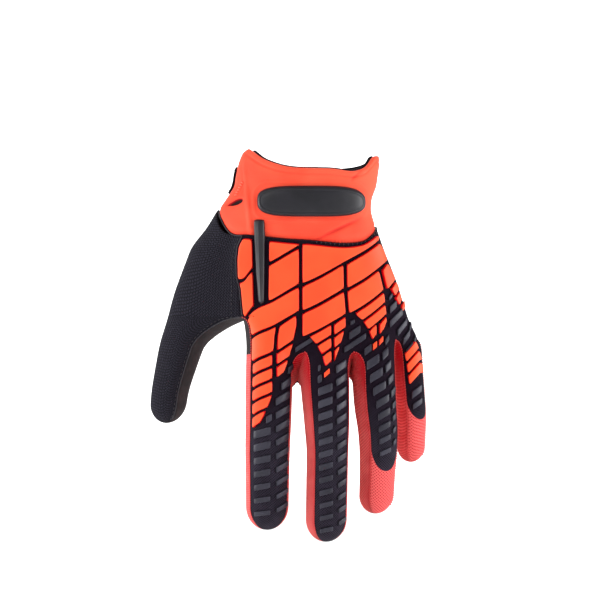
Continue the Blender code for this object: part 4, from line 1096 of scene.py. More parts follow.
def ring_surface(turn, drop, depth):
    """Points of the hand's section moved inward by a depth, and the outward directions:
    the cross product of short steps down the section and round it."""
    grid = hand(turn, drop)
    ahead = hand(turn + 0.6, drop) - hand(turn - 0.6, drop)
    down = hand(turn, drop + 0.0004) - hand(turn, drop - 0.0004)
    out = np.cross(down, ahead)
    out /= np.linalg.norm(out, axis=-1, keepdims=True)
    return grid - out * np.asarray(depth)[..., None], out


def bell(distance, width):
    """Smooth hump: 1 at 0, falling off over a width."""
    return np.exp(-(distance / width) ** 2)


def line_distance(x, drop, start, end):
    """Distance to a straight line between two places, and the share along it."""
    start, end = np.array(start), np.array(end)
    run = end - start
    t = np.clip(((x - start[0]) * run[0] + (drop - start[1]) * run[1]) / (run @ run), 0, 1)
    return np.hypot(x - start[0] - t * run[0], drop - start[1] - t * run[1]), t


# Creases of the cuff: start and end as x and drop, share of the depth, half width, and
# the power of the sine that fades their ends
CREASES = (
    ((0.006, 0.0285), (0.037, 0.0135), 1.0, 0.0012, 0.6),
    ((0.0245, -0.0035), (0.0345, -0.0135), 0.7, 0.0011, 0.6),
    ((-0.0352, -0.016), (-0.0338, 0.006), 0.55, 0.0008, 0.5),
)
CREASE_DEPTH = 0.001         # full depth of a crease
RIDGE_HEIGHT = 0.001         # ridge that runs down from the left peak
WELT_HEIGHT = 0.0005         # welt round the moulded bar
WELT_OFF = 0.0022            # and how far it lies from the bar
PLATE_CORNER = 0.006         # round of the welt's corners
GATHER_HEIGHT = 0.0003       # gathers above the seam
GATHER_PITCH = 2.7           # degrees round the section from one to the next
SEAM_DIP = 0.0011            # the cuff is drawn in at its seam
SLIT_PLACE = (-0.0394, 0.0075)   # x and drop of the slit's middle
SLIT_HALF = 0.0042           # half its length
SLIT_DEPTH = 0.0024
HEM_DROP = 0.0034            # groove of the hem below the top edge
HEM_DEPTH = 0.00045          # and its depth


def cuff_relief(grid, share, turn):
    """Height off the cuff's smooth surface, the painted shade of its folds, and the slit.

    A ridge runs down from the left peak, three creases slant beside and under the bar, a
    welt goes round the bar, short gathers run up from the seam, and a groove is the hem.
    Each is a bell curve exp(-(d/w)^2) of the distance d to its line."""
    x, drop = grid[..., 0], -grid[..., 2]
    back = step(1 - np.abs(turn) / 110)
    ridge = bell(x + 0.0335 - 0.1 * (drop + 0.01), 0.0013) * back * step((0.03 - drop) / 0.01)
    valley = 0
    for start, end, depth, width, power in CREASES:
        far, t = line_distance(x, drop, start, end)
        fade = np.sin(np.pi * np.clip(t, 0.02, 0.98)) ** power
        valley += depth * bell(far, width) * fade * back
    left, right = np.array(PLATE_ENDS) / 100 * HAND_WIDTH
    upper, lower = np.array(PLATE_EDGES) / 100 * HAND_LENGTH
    ax = np.abs(x - (left + right) / 2) - (right - left) / 2 + PLATE_CORNER
    ad = np.abs(drop - (upper + lower) / 2) - (lower - upper) / 2 + PLATE_CORNER
    edge = (np.hypot(np.maximum(ax, 0), np.maximum(ad, 0)) + np.minimum(np.maximum(ax, ad), 0)
            - PLATE_CORNER)
    welt = bell(edge - WELT_OFF, 0.0009) * back
    gather = np.cos(turn * 2 * np.pi / GATHER_PITCH) * np.clip(1 - share / 0.13, 0, 1) ** 2
    gather *= step((turn - 5) / 20) * step((95 - turn) / 20) + 0.35
    plump = bell(share, 0.05)
    slit_x, slit_drop = x - SLIT_PLACE[0], drop - SLIT_PLACE[1]
    tall = (slit_drop + 0.3 * slit_x) / (0.0014 + 0.14 * slit_x)
    slit = step(np.clip(1.25 - np.hypot(slit_x / SLIT_HALF, tall), 0, 1) * back / 0.25)
    hem = bell(drop - top_drop(turn) - HEM_DROP, 0.0006)
    height = (RIDGE_HEIGHT * ridge - CREASE_DEPTH * valley + WELT_HEIGHT * welt
              + GATHER_HEIGHT * gather - SEAM_DIP * plump - SLIT_DEPTH * slit - HEM_DEPTH * hem)
    # Painted shade: darker in the creases, where the seam draws the cuff in, beside the welt's edge
    # and in the hem's groove
    painted_fold_shade = valley + 0.5 * plump + 0.25 * bell(edge - 0.0009, 0.0007) * back + 0.4 * hem
    return height, np.clip(painted_fold_shade, 0, 1), slit


CUFF_ROWS = (70, 9, 12)      # outside, round the top edge, inside
EDGE_RISE = 0.0009           # the rounded top edge rises by this


def make_cuff():
    """The cuff is one closed ring: the hand's section from the seam up the outside, over
    the edge in a half circle, and down the inside."""
    outer, edge, inner = CUFF_ROWS
    half_turn = np.linspace(0, np.pi, edge + 2)[1:-1]
    up = np.concatenate([np.linspace(0, 1, outer), np.ones(edge), np.linspace(1, 0, inner)])
    round_in = np.concatenate([np.zeros(outer), (1 - np.cos(half_turn)) / 2, np.ones(inner)])
    rise = np.concatenate([np.zeros(outer), np.sin(half_turn), np.zeros(inner)])
    turn = CUFF_TURN[None] + 0 * up[:, None]
    share = up[:, None] + 0 * turn
    drop = mix(seam_drop(turn) - 0.0003, top_drop(turn) + EDGE_RISE, share)
    grid, out = ring_surface(turn, drop, 0.0)
    height, painted_fold_shade, slit = cuff_relief(grid, share, turn)
    inside = round_in[:, None]
    grid = grid + out * (height * (1 - inside) - CUFF_WALL * inside)[..., None]
    grid[..., 2] += rise[:, None] * EDGE_RISE
    grid = np.concatenate([grid, grid[:1]])
    painted_fold_shade, slit = (np.concatenate([item * (1 - inside), item[:1]]) for item in (painted_fold_shade, slit))
    grid[:, -1] = grid[:, 0]
    u = np.radians(CUFF_TURN)[None] * 0.04 + 0 * grid[..., 0]
    uv = np.stack([u, -grid[..., 2]], -1)
    place(piece("neoprene_cuff", [(grid, True)], finish("cuff"), [uv],
                {"painted_fold_shade": [painted_fold_shade], "slit": [slit]}), "neoprene", "cuff")


def make_lining():
    """The lining is a thin closed ring inside the cuff, its top edge folded round."""
    near = CUFF_WALL + 1.5 * PIECE_GAP
    up = np.concatenate([np.zeros(1), np.linspace(0, 1, 14), np.linspace(1, 0, 14)])
    depth = np.concatenate([[near + LINING_WALL], np.full(14, near), np.full(14, near + LINING_WALL)])
    turn = CUFF_TURN[None] + 0 * up[:, None]
    top = top_drop(turn) - LINING_PEEK * 1.2
    low = mix(seam_drop(turn), top_drop(turn), 0.42)
    grid = ring_surface(turn, mix(low, top, up[:, None]), depth[:, None])[0]
    grid[:, -1] = grid[:, 0]
    uv = np.stack([np.radians(CUFF_TURN)[None] * 0.036 + 0 * grid[..., 0], -grid[..., 2]], -1)
    place(piece("cuff_lining_band", [(grid, True)], finish("lining"), [uv]), "lining", "cuff_lining")


def spaced(count, rims):
    """Shares across a cell with doubled ends, on which the rim's steps are set in."""
    inner = np.linspace(0, 1, count)
    return np.concatenate([np.zeros(rims), inner, np.ones(rims)])


SETTLE = 14                  # rounds in which a cell's sides settle
DRAWN_IN = 0.293             # 1 - 1 / sqrt 2
MOST_IN = 0.42               # an edge is set in by at most this share of the cell


def cushion_cell(left, right, top, bottom, count, steps, round_off):
    """Grid of places in a pattern cell, with rings set in from its edges.

    Steps hold the inset and height share of each ring. The corners are drawn in by
    r(1-1/sqrt 2) times the product of high powers of the two shares, a round of r.
    Each side's place hangs on the other's, so they are worked out in turn, SETTLE times."""
    rims = len(steps) - 1
    u, v = np.meshgrid(spaced(count[0], rims), spaced(count[1], rims))
    rows, columns = u.shape
    i, j = np.meshgrid(np.arange(columns), np.arange(rows))
    ring = np.minimum(np.minimum(i, columns - 1 - i), np.minimum(j, rows - 1 - j))
    ring = np.clip(ring, 0, rims)
    inset = np.array([inset for inset, _ in steps])
    aside_x = inset[np.clip(np.minimum(i, columns - 1 - i), 0, rims)]
    aside_y = inset[np.clip(np.minimum(j, rows - 1 - j), 0, rims)]
    p, q = np.abs(2 * u - 1), np.abs(2 * v - 1)
    drop = (top(np.array(0.0)) + bottom(np.array(0.0))) / 2 + 0 * u
    for _ in range(SETTLE):
        first, last = left(drop), right(drop)
        wide = np.maximum(last - first, 1e-5)
        x = mix(first, last, u)
        above, below = top(x), bottom(x)
        tall = np.maximum(below - above, 1e-5)
        spans = np.array([np.median(wide), np.median(tall)])
        power = np.clip(spans / 2 / (2 * DRAWN_IN * round_off), 2, 40)
        corner_in = DRAWN_IN * round_off * p ** power[0] * q ** power[1]
        in_x = np.minimum(aside_x + corner_in, MOST_IN * wide)
        in_y = np.minimum(aside_y + corner_in, MOST_IN * tall)
        x = mix(first + in_x, last - in_x, u)
        drop = mix(above + in_y, below - in_y, v)
    return x, drop, np.array([share for _, share in steps])[ring], ring


TONGUE_RIDGE = 0.0014        # the tongue's middle ridge stands over its edges by this


def raised_piece(name, cells, low, high, round_off, look, count, steps, dome=0.0, sharp=2.0):
    """Raised pads over the back surface, each closed underneath. A dome lifts the middle
    by 1-|s|^sharp across and 1-t^8 along."""
    grids, rims = [], []
    for left, right, top, bottom in cells:
        x, drop, share, ring = cushion_cell(left, right, top, bottom, count, steps, round_off)
        rows, columns = x.shape
        s = np.linspace(-1, 1, columns)[None] + 0 * x
        t = np.linspace(-1, 1, rows)[:, None] + 0 * x
        lift = mix(low, high, share) + dome * (1 - np.abs(s) ** sharp) * (1 - t**8)
        base, out = front(x, drop), front_normal(x, drop)
        grid = base + out * lift[..., None]
        grids.append((grid, False))
        # rim sets the painted highlight and the painted wall shade of the rubber's finish
        rims.append(1 - np.clip(ring / (len(steps) - 1), 0, 1))
        floor = grid.copy()
        floor[1:-1, 1:-1] = (base + out * low)[1:-1, 1:-1]
        grids.append((floor, True))
        rims.append(np.ones_like(share))
    return piece(name, grids, look, None, {"rim": rims})


OUTLINE_WRAP = 0.0002        # the tiles at the ulnar side reach past its outline by this
INDEX_TRIM = 0.0007          # three tiles of the index finger are narrower by this
SEAT = 0.00005               # tiles and the tongue start this far off the cloth
BAR_SINK = 0.0003            # bars start this far inside it

# A tile's rim, inset in metres and share of its height: wall, rounded edge, face
TILE_RIM = ((0.0, 0.0), (0.00026, 0.74), (0.0004, 0.92), (0.0006, 0.985), (0.0008, 1.0))
BAR_RIM = ((0.0, 0.0), (0.00014, 0.7), (0.00026, 0.94), (0.0004, 1.0))


def make_tile_nodes(sizes):
    """Tiles in their cells. Those of the index finger are drawn narrower than their solids."""
    for name, left, right, above, below in TILES:
        wide = below <= 4 and name.startswith(("wrist", "hand"))
        half = (TILE_CHANNEL if wide else FINGER_CHANNEL) / 2 - sizes.tile_grow
        margin = SEAM_MARGIN * (1.0 if name.startswith("index") else 0.6)
        first = panel_edge(margin) if left == "left_seam" else side_line(left, half)
        last = side_line(right, OUTLINE_WRAP if right == "outline" else -half)
        if name in ("index_1", "index_2", "index_3"):
            last = side_line(right, -half - INDEX_TRIM)
        elif name in ("index_4", "index_5"):
            last = side_line("index_taper", -half)
        cells = [(first, last, channel_line(above, 2 * half if above == 0 else half),
                  channel_line(below, -half))]
        thing = raised_piece("rubber_tile_" + name, cells, SEAT, SEAT_GAP + TILE_HEIGHT,
                             sizes.tile_round if wide else sizes.tile_round * 0.7,
                             finish("tile"), (22, 16) if wide else (12, 9), TILE_RIM)
        place(thing, "orange_rubber", "tile_" + name)


# Dark bars: x of the left and right ends and drop of the first bar, the same of the last
# bar, how many, their slopes in degrees and heights, first and last. Shares are percent
# of the hand's width and length; heights are in millimetres.
BARS = (
    ("index", -28.6, -19.3, 68.4, -28.4, -19.6, 91.3, 7, 15, 8, 4.7, 2.9),
    ("index", -16.8, -9.4, 58.7, -16.5, -9.8, 89.6, 9, 28, 26, 4.5, 2.8),
    ("index", -10.2, -6.6, 50.4, -13.8, -8.3, 54.6, 2, 30, 30, 4.2, 4.4),
    ("index", -22.0, -18.6, 64.4, -22.0, -18.6, 64.4, 1, 24, 24, 4.2, 4.2),
    ("middle", 7.4, 15.3, 56.2, 8.6, 15.8, 96.0, 12, 20, 12, 4.7, 2.7),
    ("middle", 17.0, 22.8, 49.8, 18.6, 22.9, 93.6, 13, 30, 27, 4.5, 2.8),
    ("middle", 7.3, 8.9, 50.2, 7.2, 9.6, 53.2, 2, 20, 20, 3.4, 4.4),
    ("ring", 33.4, 37.6, 45.2, 33.4, 37.6, 45.2, 1, 30, 30, 4.4, 4.4),
    ("ring", 34.8, 41.8, 48.6, 40.0, 47.0, 59.6, 4, 30, 29, 5.2, 4.6),
    ("ring", 41.0, 47.6, 63.2, 42.2, 48.2, 73.9, 4, 28, 22, 4.2, 3.0),
    ("ring", 43.3, 46.7, 46.3, 47.8, 50.6, 57.0, 4, 40, 40, 5.0, 4.4),
    ("ring", 48.6, 50.8, 60.6, 49.2, 51.0, 71.2, 4, 38, 36, 4.0, 3.0),
    ("ring", 44.8, 47.2, 42.4, 44.8, 47.2, 42.4, 1, 45, 45, 4.0, 4.0),
    ("knuckle", 25.2, 28.0, 37.3, 25.2, 28.0, 37.3, 1, 20, 20, 2.6, 2.6),
    ("knuckle", 24.6, 31.2, 40.2, 24.6, 31.2, 40.2, 1, 30, 30, 4.6, 4.6),
    ("knuckle", 21.6, 34.4, 43.2, 21.6, 34.4, 43.2, 1, 31, 31, 3.6, 3.6),
    ("knuckle", -5.6, 4.4, 43.6, -5.6, 4.4, 43.6, 1, 29, 29, 3.0, 3.0),
    ("ulnar", 46.8, 49.0, 30.2, 46.8, 49.0, 30.2, 1, 40, 40, 2.6, 2.6),
    ("ulnar", 47.4, 51.4, 33.0, 47.4, 51.4, 33.0, 1, 38, 38, 4.4, 4.4),
    ("ulnar", 47.4, 55.0, 36.1, 51.8, 57.4, 38.8, 2, 42, 46, 4.4, 4.2),
    ("ulnar", 55.2, 59.2, 41.6, 57.4, 61.2, 44.9, 2, 48, 46, 4.2, 3.8),
    ("ulnar", 58.6, 60.2, 38.6, 61.4, 62.8, 42.2, 2, 50, 50, 3.6, 3.4),
    ("little", 60.6, 66.0, 57.2, 61.2, 66.4, 60.6, 2, 35, 32, 4.4, 3.6),
)

# Small ends of the tile fans, in the same way
FAN_ENDS = (
    ("middle", 10.6, 13.8, 51.6, 10.6, 13.8, 51.6, 1, 34, 34, 3.0, 3.0),
    ("ring", 38.1, 40.6, 44.0, 38.1, 40.6, 44.0, 1, 30, 30, 3.8, 3.8),
    ("ring", 41.6, 44.0, 42.6, 41.6, 44.0, 42.6, 1, 40, 40, 3.4, 3.4),
    ("ulnar", 54.2, 56.2, 32.9, 54.2, 56.2, 32.9, 1, 42, 42, 3.8, 3.8),
)


def bar_cells(row):
    """Cells of a row of bars: straight sides, and tops and bottoms on a common slope."""
    first, last, count = np.array(row[1:4]) / 100, np.array(row[4:7]) / 100, row[7]
    cells = []
    for t in np.linspace(0, 1, count):
        left, right, drop = mix(first, last, t) * np.array([HAND_WIDTH, HAND_WIDTH, HAND_LENGTH])
        slope = np.tan(np.radians(mix(row[8], row[9], t)))
        half = mix(row[10], row[11], t) / 2000
        middle = (left + right) / 2
        cells.append((lambda at, x=left: x + 0 * at, lambda at, x=right: x + 0 * at,
                      lambda x, c=drop - half, k=slope, m=middle: c - k * (x - m),
                      lambda x, c=drop + half, k=slope, m=middle: c - k * (x - m)))
    return cells


def make_finger_bars(sizes):
    """Dark bars, one piece for each group, and the orange ends of the tile fans."""
    for group in dict.fromkeys(row[0] for row in BARS):
        cells = [cell for row in BARS if row[0] == group for cell in bar_cells(row)]
        place(raised_piece("dark_bars_" + group, cells, -BAR_SINK, BAR_HEIGHT, sizes.bar_round,
                           finish("bar"), (8, 5), BAR_RIM), "black_rubber")
    cells = [cell for row in FAN_ENDS for cell in bar_cells(row)]
    place(raised_piece("tile_fan_ends", cells, -BAR_SINK, TILE_HEIGHT, sizes.bar_round * 0.4,
                       finish("tile"), (8, 6), BAR_RIM), "orange_rubber")


def make_plate():
    """Bar on the cuff. Its outline is the superellipse |x/a|^4 + |y/b|^3 = 1; rings go
    from the rim to the middle, and their height is a wall, a long bevel and a crown."""
    left, right = np.array(PLATE_ENDS) / 100 * HAND_WIDTH
    upper, lower = np.array(PLATE_EDGES) / 100 * HAND_LENGTH
    turn = np.linspace(0, 2 * np.pi, 181)[None]
    inset, height = np.array(PLATE_PROFILE).T[..., None]
    across = signed_power(np.cos(turn), 0.5)
    along = signed_power(np.sin(turn), 2 / 3)
    half = (lower - upper) / 2
    x = (left + right) / 2 + across * ((right - left) / 2 - inset)
    drop = (upper + lower) / 2 + along * (half - inset)
    middle_x = (left + right) / 2 + across[0] * ((right - left) / 2 - half)
    x = np.concatenate([x, [middle_x]])
    drop = np.concatenate([drop, [(upper + lower) / 2 + 0 * middle_x]])
    lift = mix(0.0001, PLATE_HEIGHT, np.concatenate([height, [[1.0]]]))
    base, out = front(x, drop), front_normal(x, drop)
    grid = base + out * lift[..., None]
    grid[:, -1] = grid[:, 0]
    floor = base + out * 0.0001
    floor[0], floor[:, -1] = grid[0], floor[:, 0]
    rims = [1 - np.clip(inset / 0.0013, 0, 1) + 0 * x[:-1], np.ones_like(x)]
    rims[0] = np.concatenate([rims[0], 0 * x[:1]])
    grids = [(grid, True), (floor, False)]
    cap = np.stack([grid[-1], grid[-1][::-1]])
    grids += [(cap, True), (np.stack([floor[-1], floor[-1][::-1]]), False)]
    rims += [np.zeros(cap.shape[:2]), np.ones(cap.shape[:2])]
    thing = piece("moulded_wrist_bar", grids, finish("plate"), None, {"rim": rims})
    place(thing, "black_rubber", "wrist_plate")


def make_tongue():
    """Tapered bar below the cuff: straight edges between the table's widths, and a ridge
    down the middle."""
    upper, lower = np.array(TONGUE_EDGES) / 100 * HAND_LENGTH

    rows, centres, halves = np.array(TONGUE).T

    def edge(side):
        return lambda drop: np.interp(drop / HAND_LENGTH * 100, rows,
                                      centres + side * halves) / 100 * HAND_WIDTH

    cells = [(edge(-1), edge(1), lambda x: upper + 0 * x, lambda x: lower + 0 * x)]
    rim = ((0.0, 0.0), (0.0001, 0.5), (0.0002, 0.62), (0.0004, 0.68), (0.0007, 0.76))
    thing = raised_piece("moulded_tongue", cells, SEAT, SEAT_GAP + TONGUE_HEIGHT, 0.0008,
                         finish("plate"), (15, 60), rim, TONGUE_RIDGE, sharp=1.0)
    place(thing, "black_rubber", "tongue")


def make_tab():
    """Closure tab: a superellipse section carried round the palm side, drawn in at its
    ends by a quarter circle."""
    t = np.linspace(0, 2 * np.pi, 49)
    across, thick = signed_power(np.cos(t), 0.35), signed_power(np.sin(t), 0.35)
    turn = np.linspace(TAB_ANGLES[0], TAB_ANGLES[1] - TAB_TRIM, 150)
    ends = np.clip(np.minimum(turn - turn[0], turn[-1] - turn) / 5, 0, 1)
    ends = np.sqrt(1 - (1 - ends) ** 2)
    upper, lower = np.array(TAB_EDGES) / 100 * HAND_LENGTH
    drop = (upper + lower) / 2 + (lower - upper) / 2 * across[:, None] * (0.35 + 0.65 * ends[None])
    depth = -(TAB_LIFT + TAB_WALL / 2 + thick[:, None] * TAB_WALL / 2 * ends[None])
    grid = ring_surface(turn[None] + 0 * drop, drop, depth)[0]
    grid[-1] = grid[0]
    place(piece("closure_tab_web", [(grid, False)], finish("lining"), [arc_uv(grid)]), "lining",
          "closure_tab")
    runs = []
    for share in (-0.78, 0.78):
        angle = np.linspace(TAB_ANGLES[0] + 5, TAB_ANGLES[1] - TAB_TRIM - 4, 90)
        path, out = ring_surface(angle, (upper + lower) / 2 + (lower - upper) / 2 * share + 0 * angle,
                                 -(TAB_LIFT + TAB_WALL + 0.0001))
        runs.append((path, out, 0.0))
    place(stitches("closure_tab_stitches", runs, finish("thread")), "lining")


# Seams

def edge_path(grid, column, lift):
    """A grid's border column with the outward directions there."""
    out = grid_normals(grid)[:, column]
    return grid[:, column] + out * lift, out


# Threads beside the slit: start and end as x and drop, and whether they are orange
SLIT_THREADS = (
    ((-0.0347, -0.0036), (-0.0384, 0.0034), True),
    ((-0.0392, 0.0108), (-0.0415, 0.0158), False),
)
TIP_FREE = 14                # rows of a fingertip without stitches


def make_seams(sizes):
    """Cords and threads along the seams, listed as path, outward directions and, for
    threads, how far they turn across the path."""
    thumb = back_of_ray("thumb", 2 * ACROSS)[:-8]
    cords = [edge_path(thumb, -1, 0.0001), edge_path(thumb, 0, 0.0001)]
    runs = [(edge_path(thumb, -3, 0.0002)[0], cords[0][1], 0.0)]
    turn = np.linspace(-94, 94, 240)
    seam, out = ring_surface(turn, seam_drop(turn) + 0.0002, 0.0004)
    cords.append((seam - out * 0.0002, out))
    right = turn > 8
    runs.append((seam[right] + out[right] * 0.0006, out[right], 1.0))
    reds, lights = [], []
    for ray in RAYS:
        grid = finger_patch(ray, ACROSS, False)[:-TIP_FREE]
        for column in (0, -1):
            path, outs = edge_path(grid, column, 0.0002)
            reds.append((path, outs, 0.15))
        grid = finger_patch(ray, ACROSS, True)[:-TIP_FREE]
        for column in (0, -1):
            path, outs = edge_path(grid, column, 0.0001)
            runs.append((path, -outs, 0.15))
    share = np.linspace(0, 1, 40)
    for start, end, orange in SLIT_THREADS:
        x, drop = mix(start[0], end[0], share), mix(start[1], end[1], share)
        path = front(x, drop) + front_normal(x, drop) * 0.0003
        (lights if orange else runs).append((path, front_normal(x, drop), 0.8))
    place(stitches("overlock_stitches", lights, finish("cuff_thread"), 0.0022, 0.00032, 0.0013),
          "neoprene")
    place(tube_mesh("seam_cords", cords, 0.00035, finish("thread")), "lining")
    place(stitches("black_stitches", runs, finish("thread"), sizes.stitch_length,
                   sizes.thread_width / 2, sizes.stitch_length * 1.5), "lining")
    place(stitches("red_stitches", reds, finish("red_thread"), 0.0012, 0.00027, 0.0014),
          "coral_mesh")


# Stage

FLOOR = -0.262               # height of the studio's floor
VIEW_FROM = 1.6              # the camera's distance from the glove
VIEW_WIDTH = 0.336           # width of the picture at the glove
# Soft boxes: name, place, aim, size, power
HAND_MIDDLE = (0, 0, -0.08)
SOFT_BOXES = (
    ("key", (-0.7, -1.1, 0.55), HAND_MIDDLE, 0.6, 4.5),
    ("fill", (0.95, -0.8, 0.2), HAND_MIDDLE, 0.7, 3),
    ("left_edge", (-0.8, -0.12, -0.1), HAND_MIDDLE, 0.5, 7),
    ("right_edge", (0.8, -0.12, -0.1), HAND_MIDDLE, 0.5, 6),
    ("wall", (0.0, 2.0, 1.1), (0, 3.2, 0.2), 1.6, 46),
    ("floor", (0.0, 1.2, 1.4), (0, 1.5, -0.26), 1.4, 22),
)


def make_stage():
    """Pale seamless sweep: a level floor that turns up into a wall on a round of 0.6 m."""
    t = np.linspace(0, np.pi / 2, 24)
    round_up = np.stack([2.6 + 0.6 * np.sin(t), FLOOR + 0.6 - 0.6 * np.cos(t)], -1)
    profile = np.concatenate([[[-4.0, FLOOR], [-1.0, FLOOR]], round_up, [[3.2, 3.0]]])
    x = np.linspace(-4, 4, 13)
    grid = np.stack(np.broadcast_arrays(x[None], profile[:, :1], profile[:, 1:]), -1)
    floor = piece("studio_sweep", [(grid, True)], finish("board"))
    scene = bpy.context.scene
    world = scene.world or bpy.data.worlds.new("studio")
    scene.world = world
    world.use_nodes = True
    sky = world.node_tree.nodes["Background"]
    sky.inputs["Color"].default_value = (1, 1, 1, 1)
    sky.inputs["Strength"].default_value = 0.5
    for name, spot, aim, size, power in SOFT_BOXES:
        soft_box = bpy.data.lights.new(name, "AREA")
        soft_box.energy = power
        soft_box.size = size
        lamp = bpy.data.objects.new(name, soft_box)
        lamp.location = spot
        way = mathutils.Vector(np.array(aim) - np.array(spot))
        lamp.rotation_euler = way.to_track_quat("-Z", "Y").to_euler()
        scene.collection.objects.link(lamp)
    camera = bpy.data.objects.new("camera", bpy.data.cameras.new("camera"))
    camera.location = (-0.0028, -VIEW_FROM, -0.0616)
    camera.rotation_euler = (np.pi / 2, 0, 0)
    camera.data.sensor_width = 36
    camera.data.lens = camera.data.sensor_width * VIEW_FROM / VIEW_WIDTH
    scene.collection.objects.link(camera)
    scene.camera = camera
    scene.view_settings.view_transform = "Standard"


# Add-on

class GloveSizes(bpy.types.PropertyGroup):
    tile_round: bpy.props.FloatProperty(
        name="Tile corner", description="Corner radius of a wide tile", default=0.0007,
        min=0.0003, max=0.003, subtype="DISTANCE", unit="LENGTH")
    tile_grow: bpy.props.FloatProperty(
        name="Tile growth", description="How far a tile's side stands into its channel",
        default=0.0003, min=0.0, max=0.0006, subtype="DISTANCE", unit="LENGTH")
    bar_round: bpy.props.FloatProperty(
        name="Bar corner", description="Corner radius of a dark finger bar", default=0.0003,
        min=0.0001, max=0.001, subtype="DISTANCE", unit="LENGTH")
    thread_width: bpy.props.FloatProperty(
        name="Thread", description="Thickness of the sewing thread", default=0.00045,
        min=0.0002, max=0.0009, subtype="DISTANCE", unit="LENGTH")
    stitch_length: bpy.props.FloatProperty(
        name="Stitch", description="Length of one visible stitch", default=0.0016,
        min=0.0008, max=0.004, subtype="DISTANCE", unit="LENGTH")


def tone(name, description, code):
    """Colour property with an sRGB default."""
    return bpy.props.FloatVectorProperty(name=name, description=description, size=4,
                                         default=paint(code), min=0, max=1, subtype="COLOR")


class GloveColours(bpy.types.PropertyGroup):
    tile: tone("Tile", "Face of the raised tiles", "#F84A20")
    # Tile side is painted shade on the tiles' walls
    tile_wall_shade: tone("Tile side", "Side walls of the raised tiles", "#F00010")
    bar: tone("Finger bar", "Raised bars on the fingers", "#25242E")
    base: tone("Base mesh", "Black mesh of the back", "#37313F")
    coral: tone("Side mesh", "Mesh between the fingers", "#FF6E6C")
    # Side mesh depth colours the side mesh's holes, and is also the painted shade of its rib grooves
    # and of the gaps between the fingers
    coral_hole_and_shade: tone("Side mesh depth", "Holes and folds of the side mesh", "#C80A1E")
    knit: tone("Knit", "Knit over the thumb", "#0C0B10")
    palm: tone("Palm", "Suede of the palm", "#1E1A1C")
    cuff: tone("Cuff", "Jersey of the cuff", "#F84830")
    plate: tone("Wrist bar", "Moulded bar and tongue", "#141319")


class GLOVE_OT_back_panel(bpy.types.Operator):
    """Mesh back of the hand with its finger strips"""
    bl_idname = "glove.back_panel"
    bl_label = "Back Panel"

    def execute(self, context):
        make_back()
        return {"FINISHED"}


class GLOVE_OT_palm_panel(bpy.types.Operator):
    """Suede palm and finger fronts"""
    bl_idname = "glove.palm_panel"
    bl_label = "Palm Panel"

    def execute(self, context):
        make_palm()
        return {"FINISHED"}


class GLOVE_OT_thumb(bpy.types.Operator):
    """Knit back and suede front of the thumb"""
    bl_idname = "glove.thumb"
    bl_label = "Thumb"

    def execute(self, context):
        make_thumb()
        return {"FINISHED"}


class GLOVE_OT_side_strips(bpy.types.Operator):
    """Coral sides of the fingers and the thumb web"""
    bl_idname = "glove.side_strips"
    bl_label = "Side Strips"

    def execute(self, context):
        make_sides()
        return {"FINISHED"}


class GLOVE_OT_cuff(bpy.types.Operator):
    """Neoprene cuff and its lining"""
    bl_idname = "glove.cuff"
    bl_label = "Cuff"

    def execute(self, context):
        make_cuff()
        make_lining()
        return {"FINISHED"}


class GLOVE_OT_closure_tab(bpy.types.Operator):
    """Tab round the palm side of the cuff"""
    bl_idname = "glove.closure_tab"
    bl_label = "Closure Tab"

    def execute(self, context):
        make_tab()
        return {"FINISHED"}


class GLOVE_OT_wrist_bar(bpy.types.Operator):
    """Moulded bar on the cuff"""
    bl_idname = "glove.wrist_bar"
    bl_label = "Wrist Bar"

    def execute(self, context):
        make_plate()
        return {"FINISHED"}


class GLOVE_OT_tongue(bpy.types.Operator):
    """Tapered bar below the cuff"""
    bl_idname = "glove.tongue"
    bl_label = "Tongue"

    def execute(self, context):
        make_tongue()
        return {"FINISHED"}


class GLOVE_OT_tiles(bpy.types.Operator):
    """Raised orange tiles"""
    bl_idname = "glove.tiles"
    bl_label = "Tiles"

    def execute(self, context):
        make_tile_nodes(context.scene.glove_sizes)
        return {"FINISHED"}


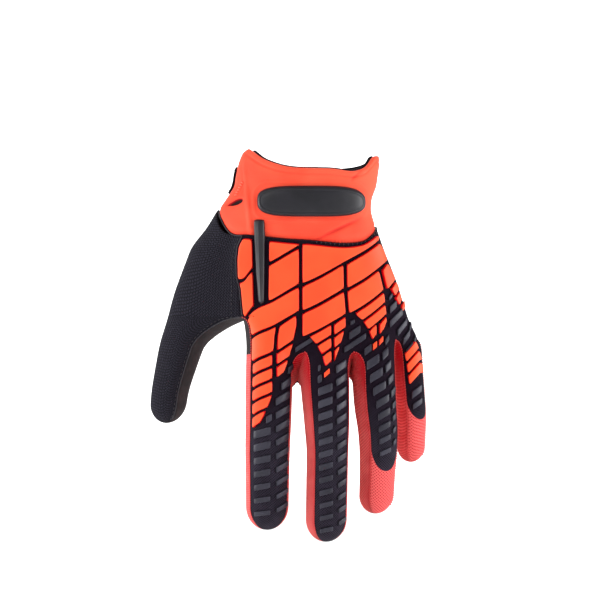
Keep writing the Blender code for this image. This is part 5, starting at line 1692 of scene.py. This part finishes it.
class GLOVE_OT_dark_bars(bpy.types.Operator):
    """Raised dark bars and the small ends of the tile fans"""
    bl_idname = "glove.dark_bars"
    bl_label = "Dark Bars"

    def execute(self, context):
        make_finger_bars(context.scene.glove_sizes)
        return {"FINISHED"}


class GLOVE_OT_seams(bpy.types.Operator):
    """Seam cords and stitches"""
    bl_idname = "glove.seams"
    bl_label = "Seams"

    def execute(self, context):
        make_seams(context.scene.glove_sizes)
        return {"FINISHED"}


class GLOVE_OT_stage(bpy.types.Operator):
    """Floor, lights and camera"""
    bl_idname = "glove.stage"
    bl_label = "Stage"

    def execute(self, context):
        make_stage()
        return {"FINISHED"}


OPERATORS = (
    GLOVE_OT_back_panel, GLOVE_OT_palm_panel, GLOVE_OT_thumb, GLOVE_OT_side_strips,
    GLOVE_OT_cuff, GLOVE_OT_closure_tab, GLOVE_OT_wrist_bar, GLOVE_OT_tongue,
    GLOVE_OT_tiles, GLOVE_OT_dark_bars, GLOVE_OT_seams, GLOVE_OT_stage,
)


class GLOVE_PT_panel(bpy.types.Panel):
    """Lists the glove's pieces."""
    bl_label = "Work Glove"
    bl_space_type = "VIEW_3D"
    bl_region_type = "UI"
    bl_category = "Glove"

    def draw(self, context):
        for group in (context.scene.glove_sizes, context.scene.glove_colours):
            for name in type(group).__annotations__:
                self.layout.prop(group, name)
        for kind in OPERATORS:
            self.layout.operator(kind.bl_idname)


CLASSES = (GloveSizes, GloveColours, GLOVE_PT_panel) + OPERATORS


def register():
    for kind in CLASSES:
        bpy.utils.register_class(kind)
    bpy.types.Scene.glove_sizes = bpy.props.PointerProperty(type=GloveSizes)
    bpy.types.Scene.glove_colours = bpy.props.PointerProperty(type=GloveColours)


def unregister():
    del bpy.types.Scene.glove_colours
    del bpy.types.Scene.glove_sizes
    for kind in reversed(CLASSES):
        bpy.utils.unregister_class(kind)


def main():
    register()
    for kind in OPERATORS:
        getattr(bpy.ops.glove, kind.bl_idname.split(".")[1])()


if __name__ == "__main__":
    main()
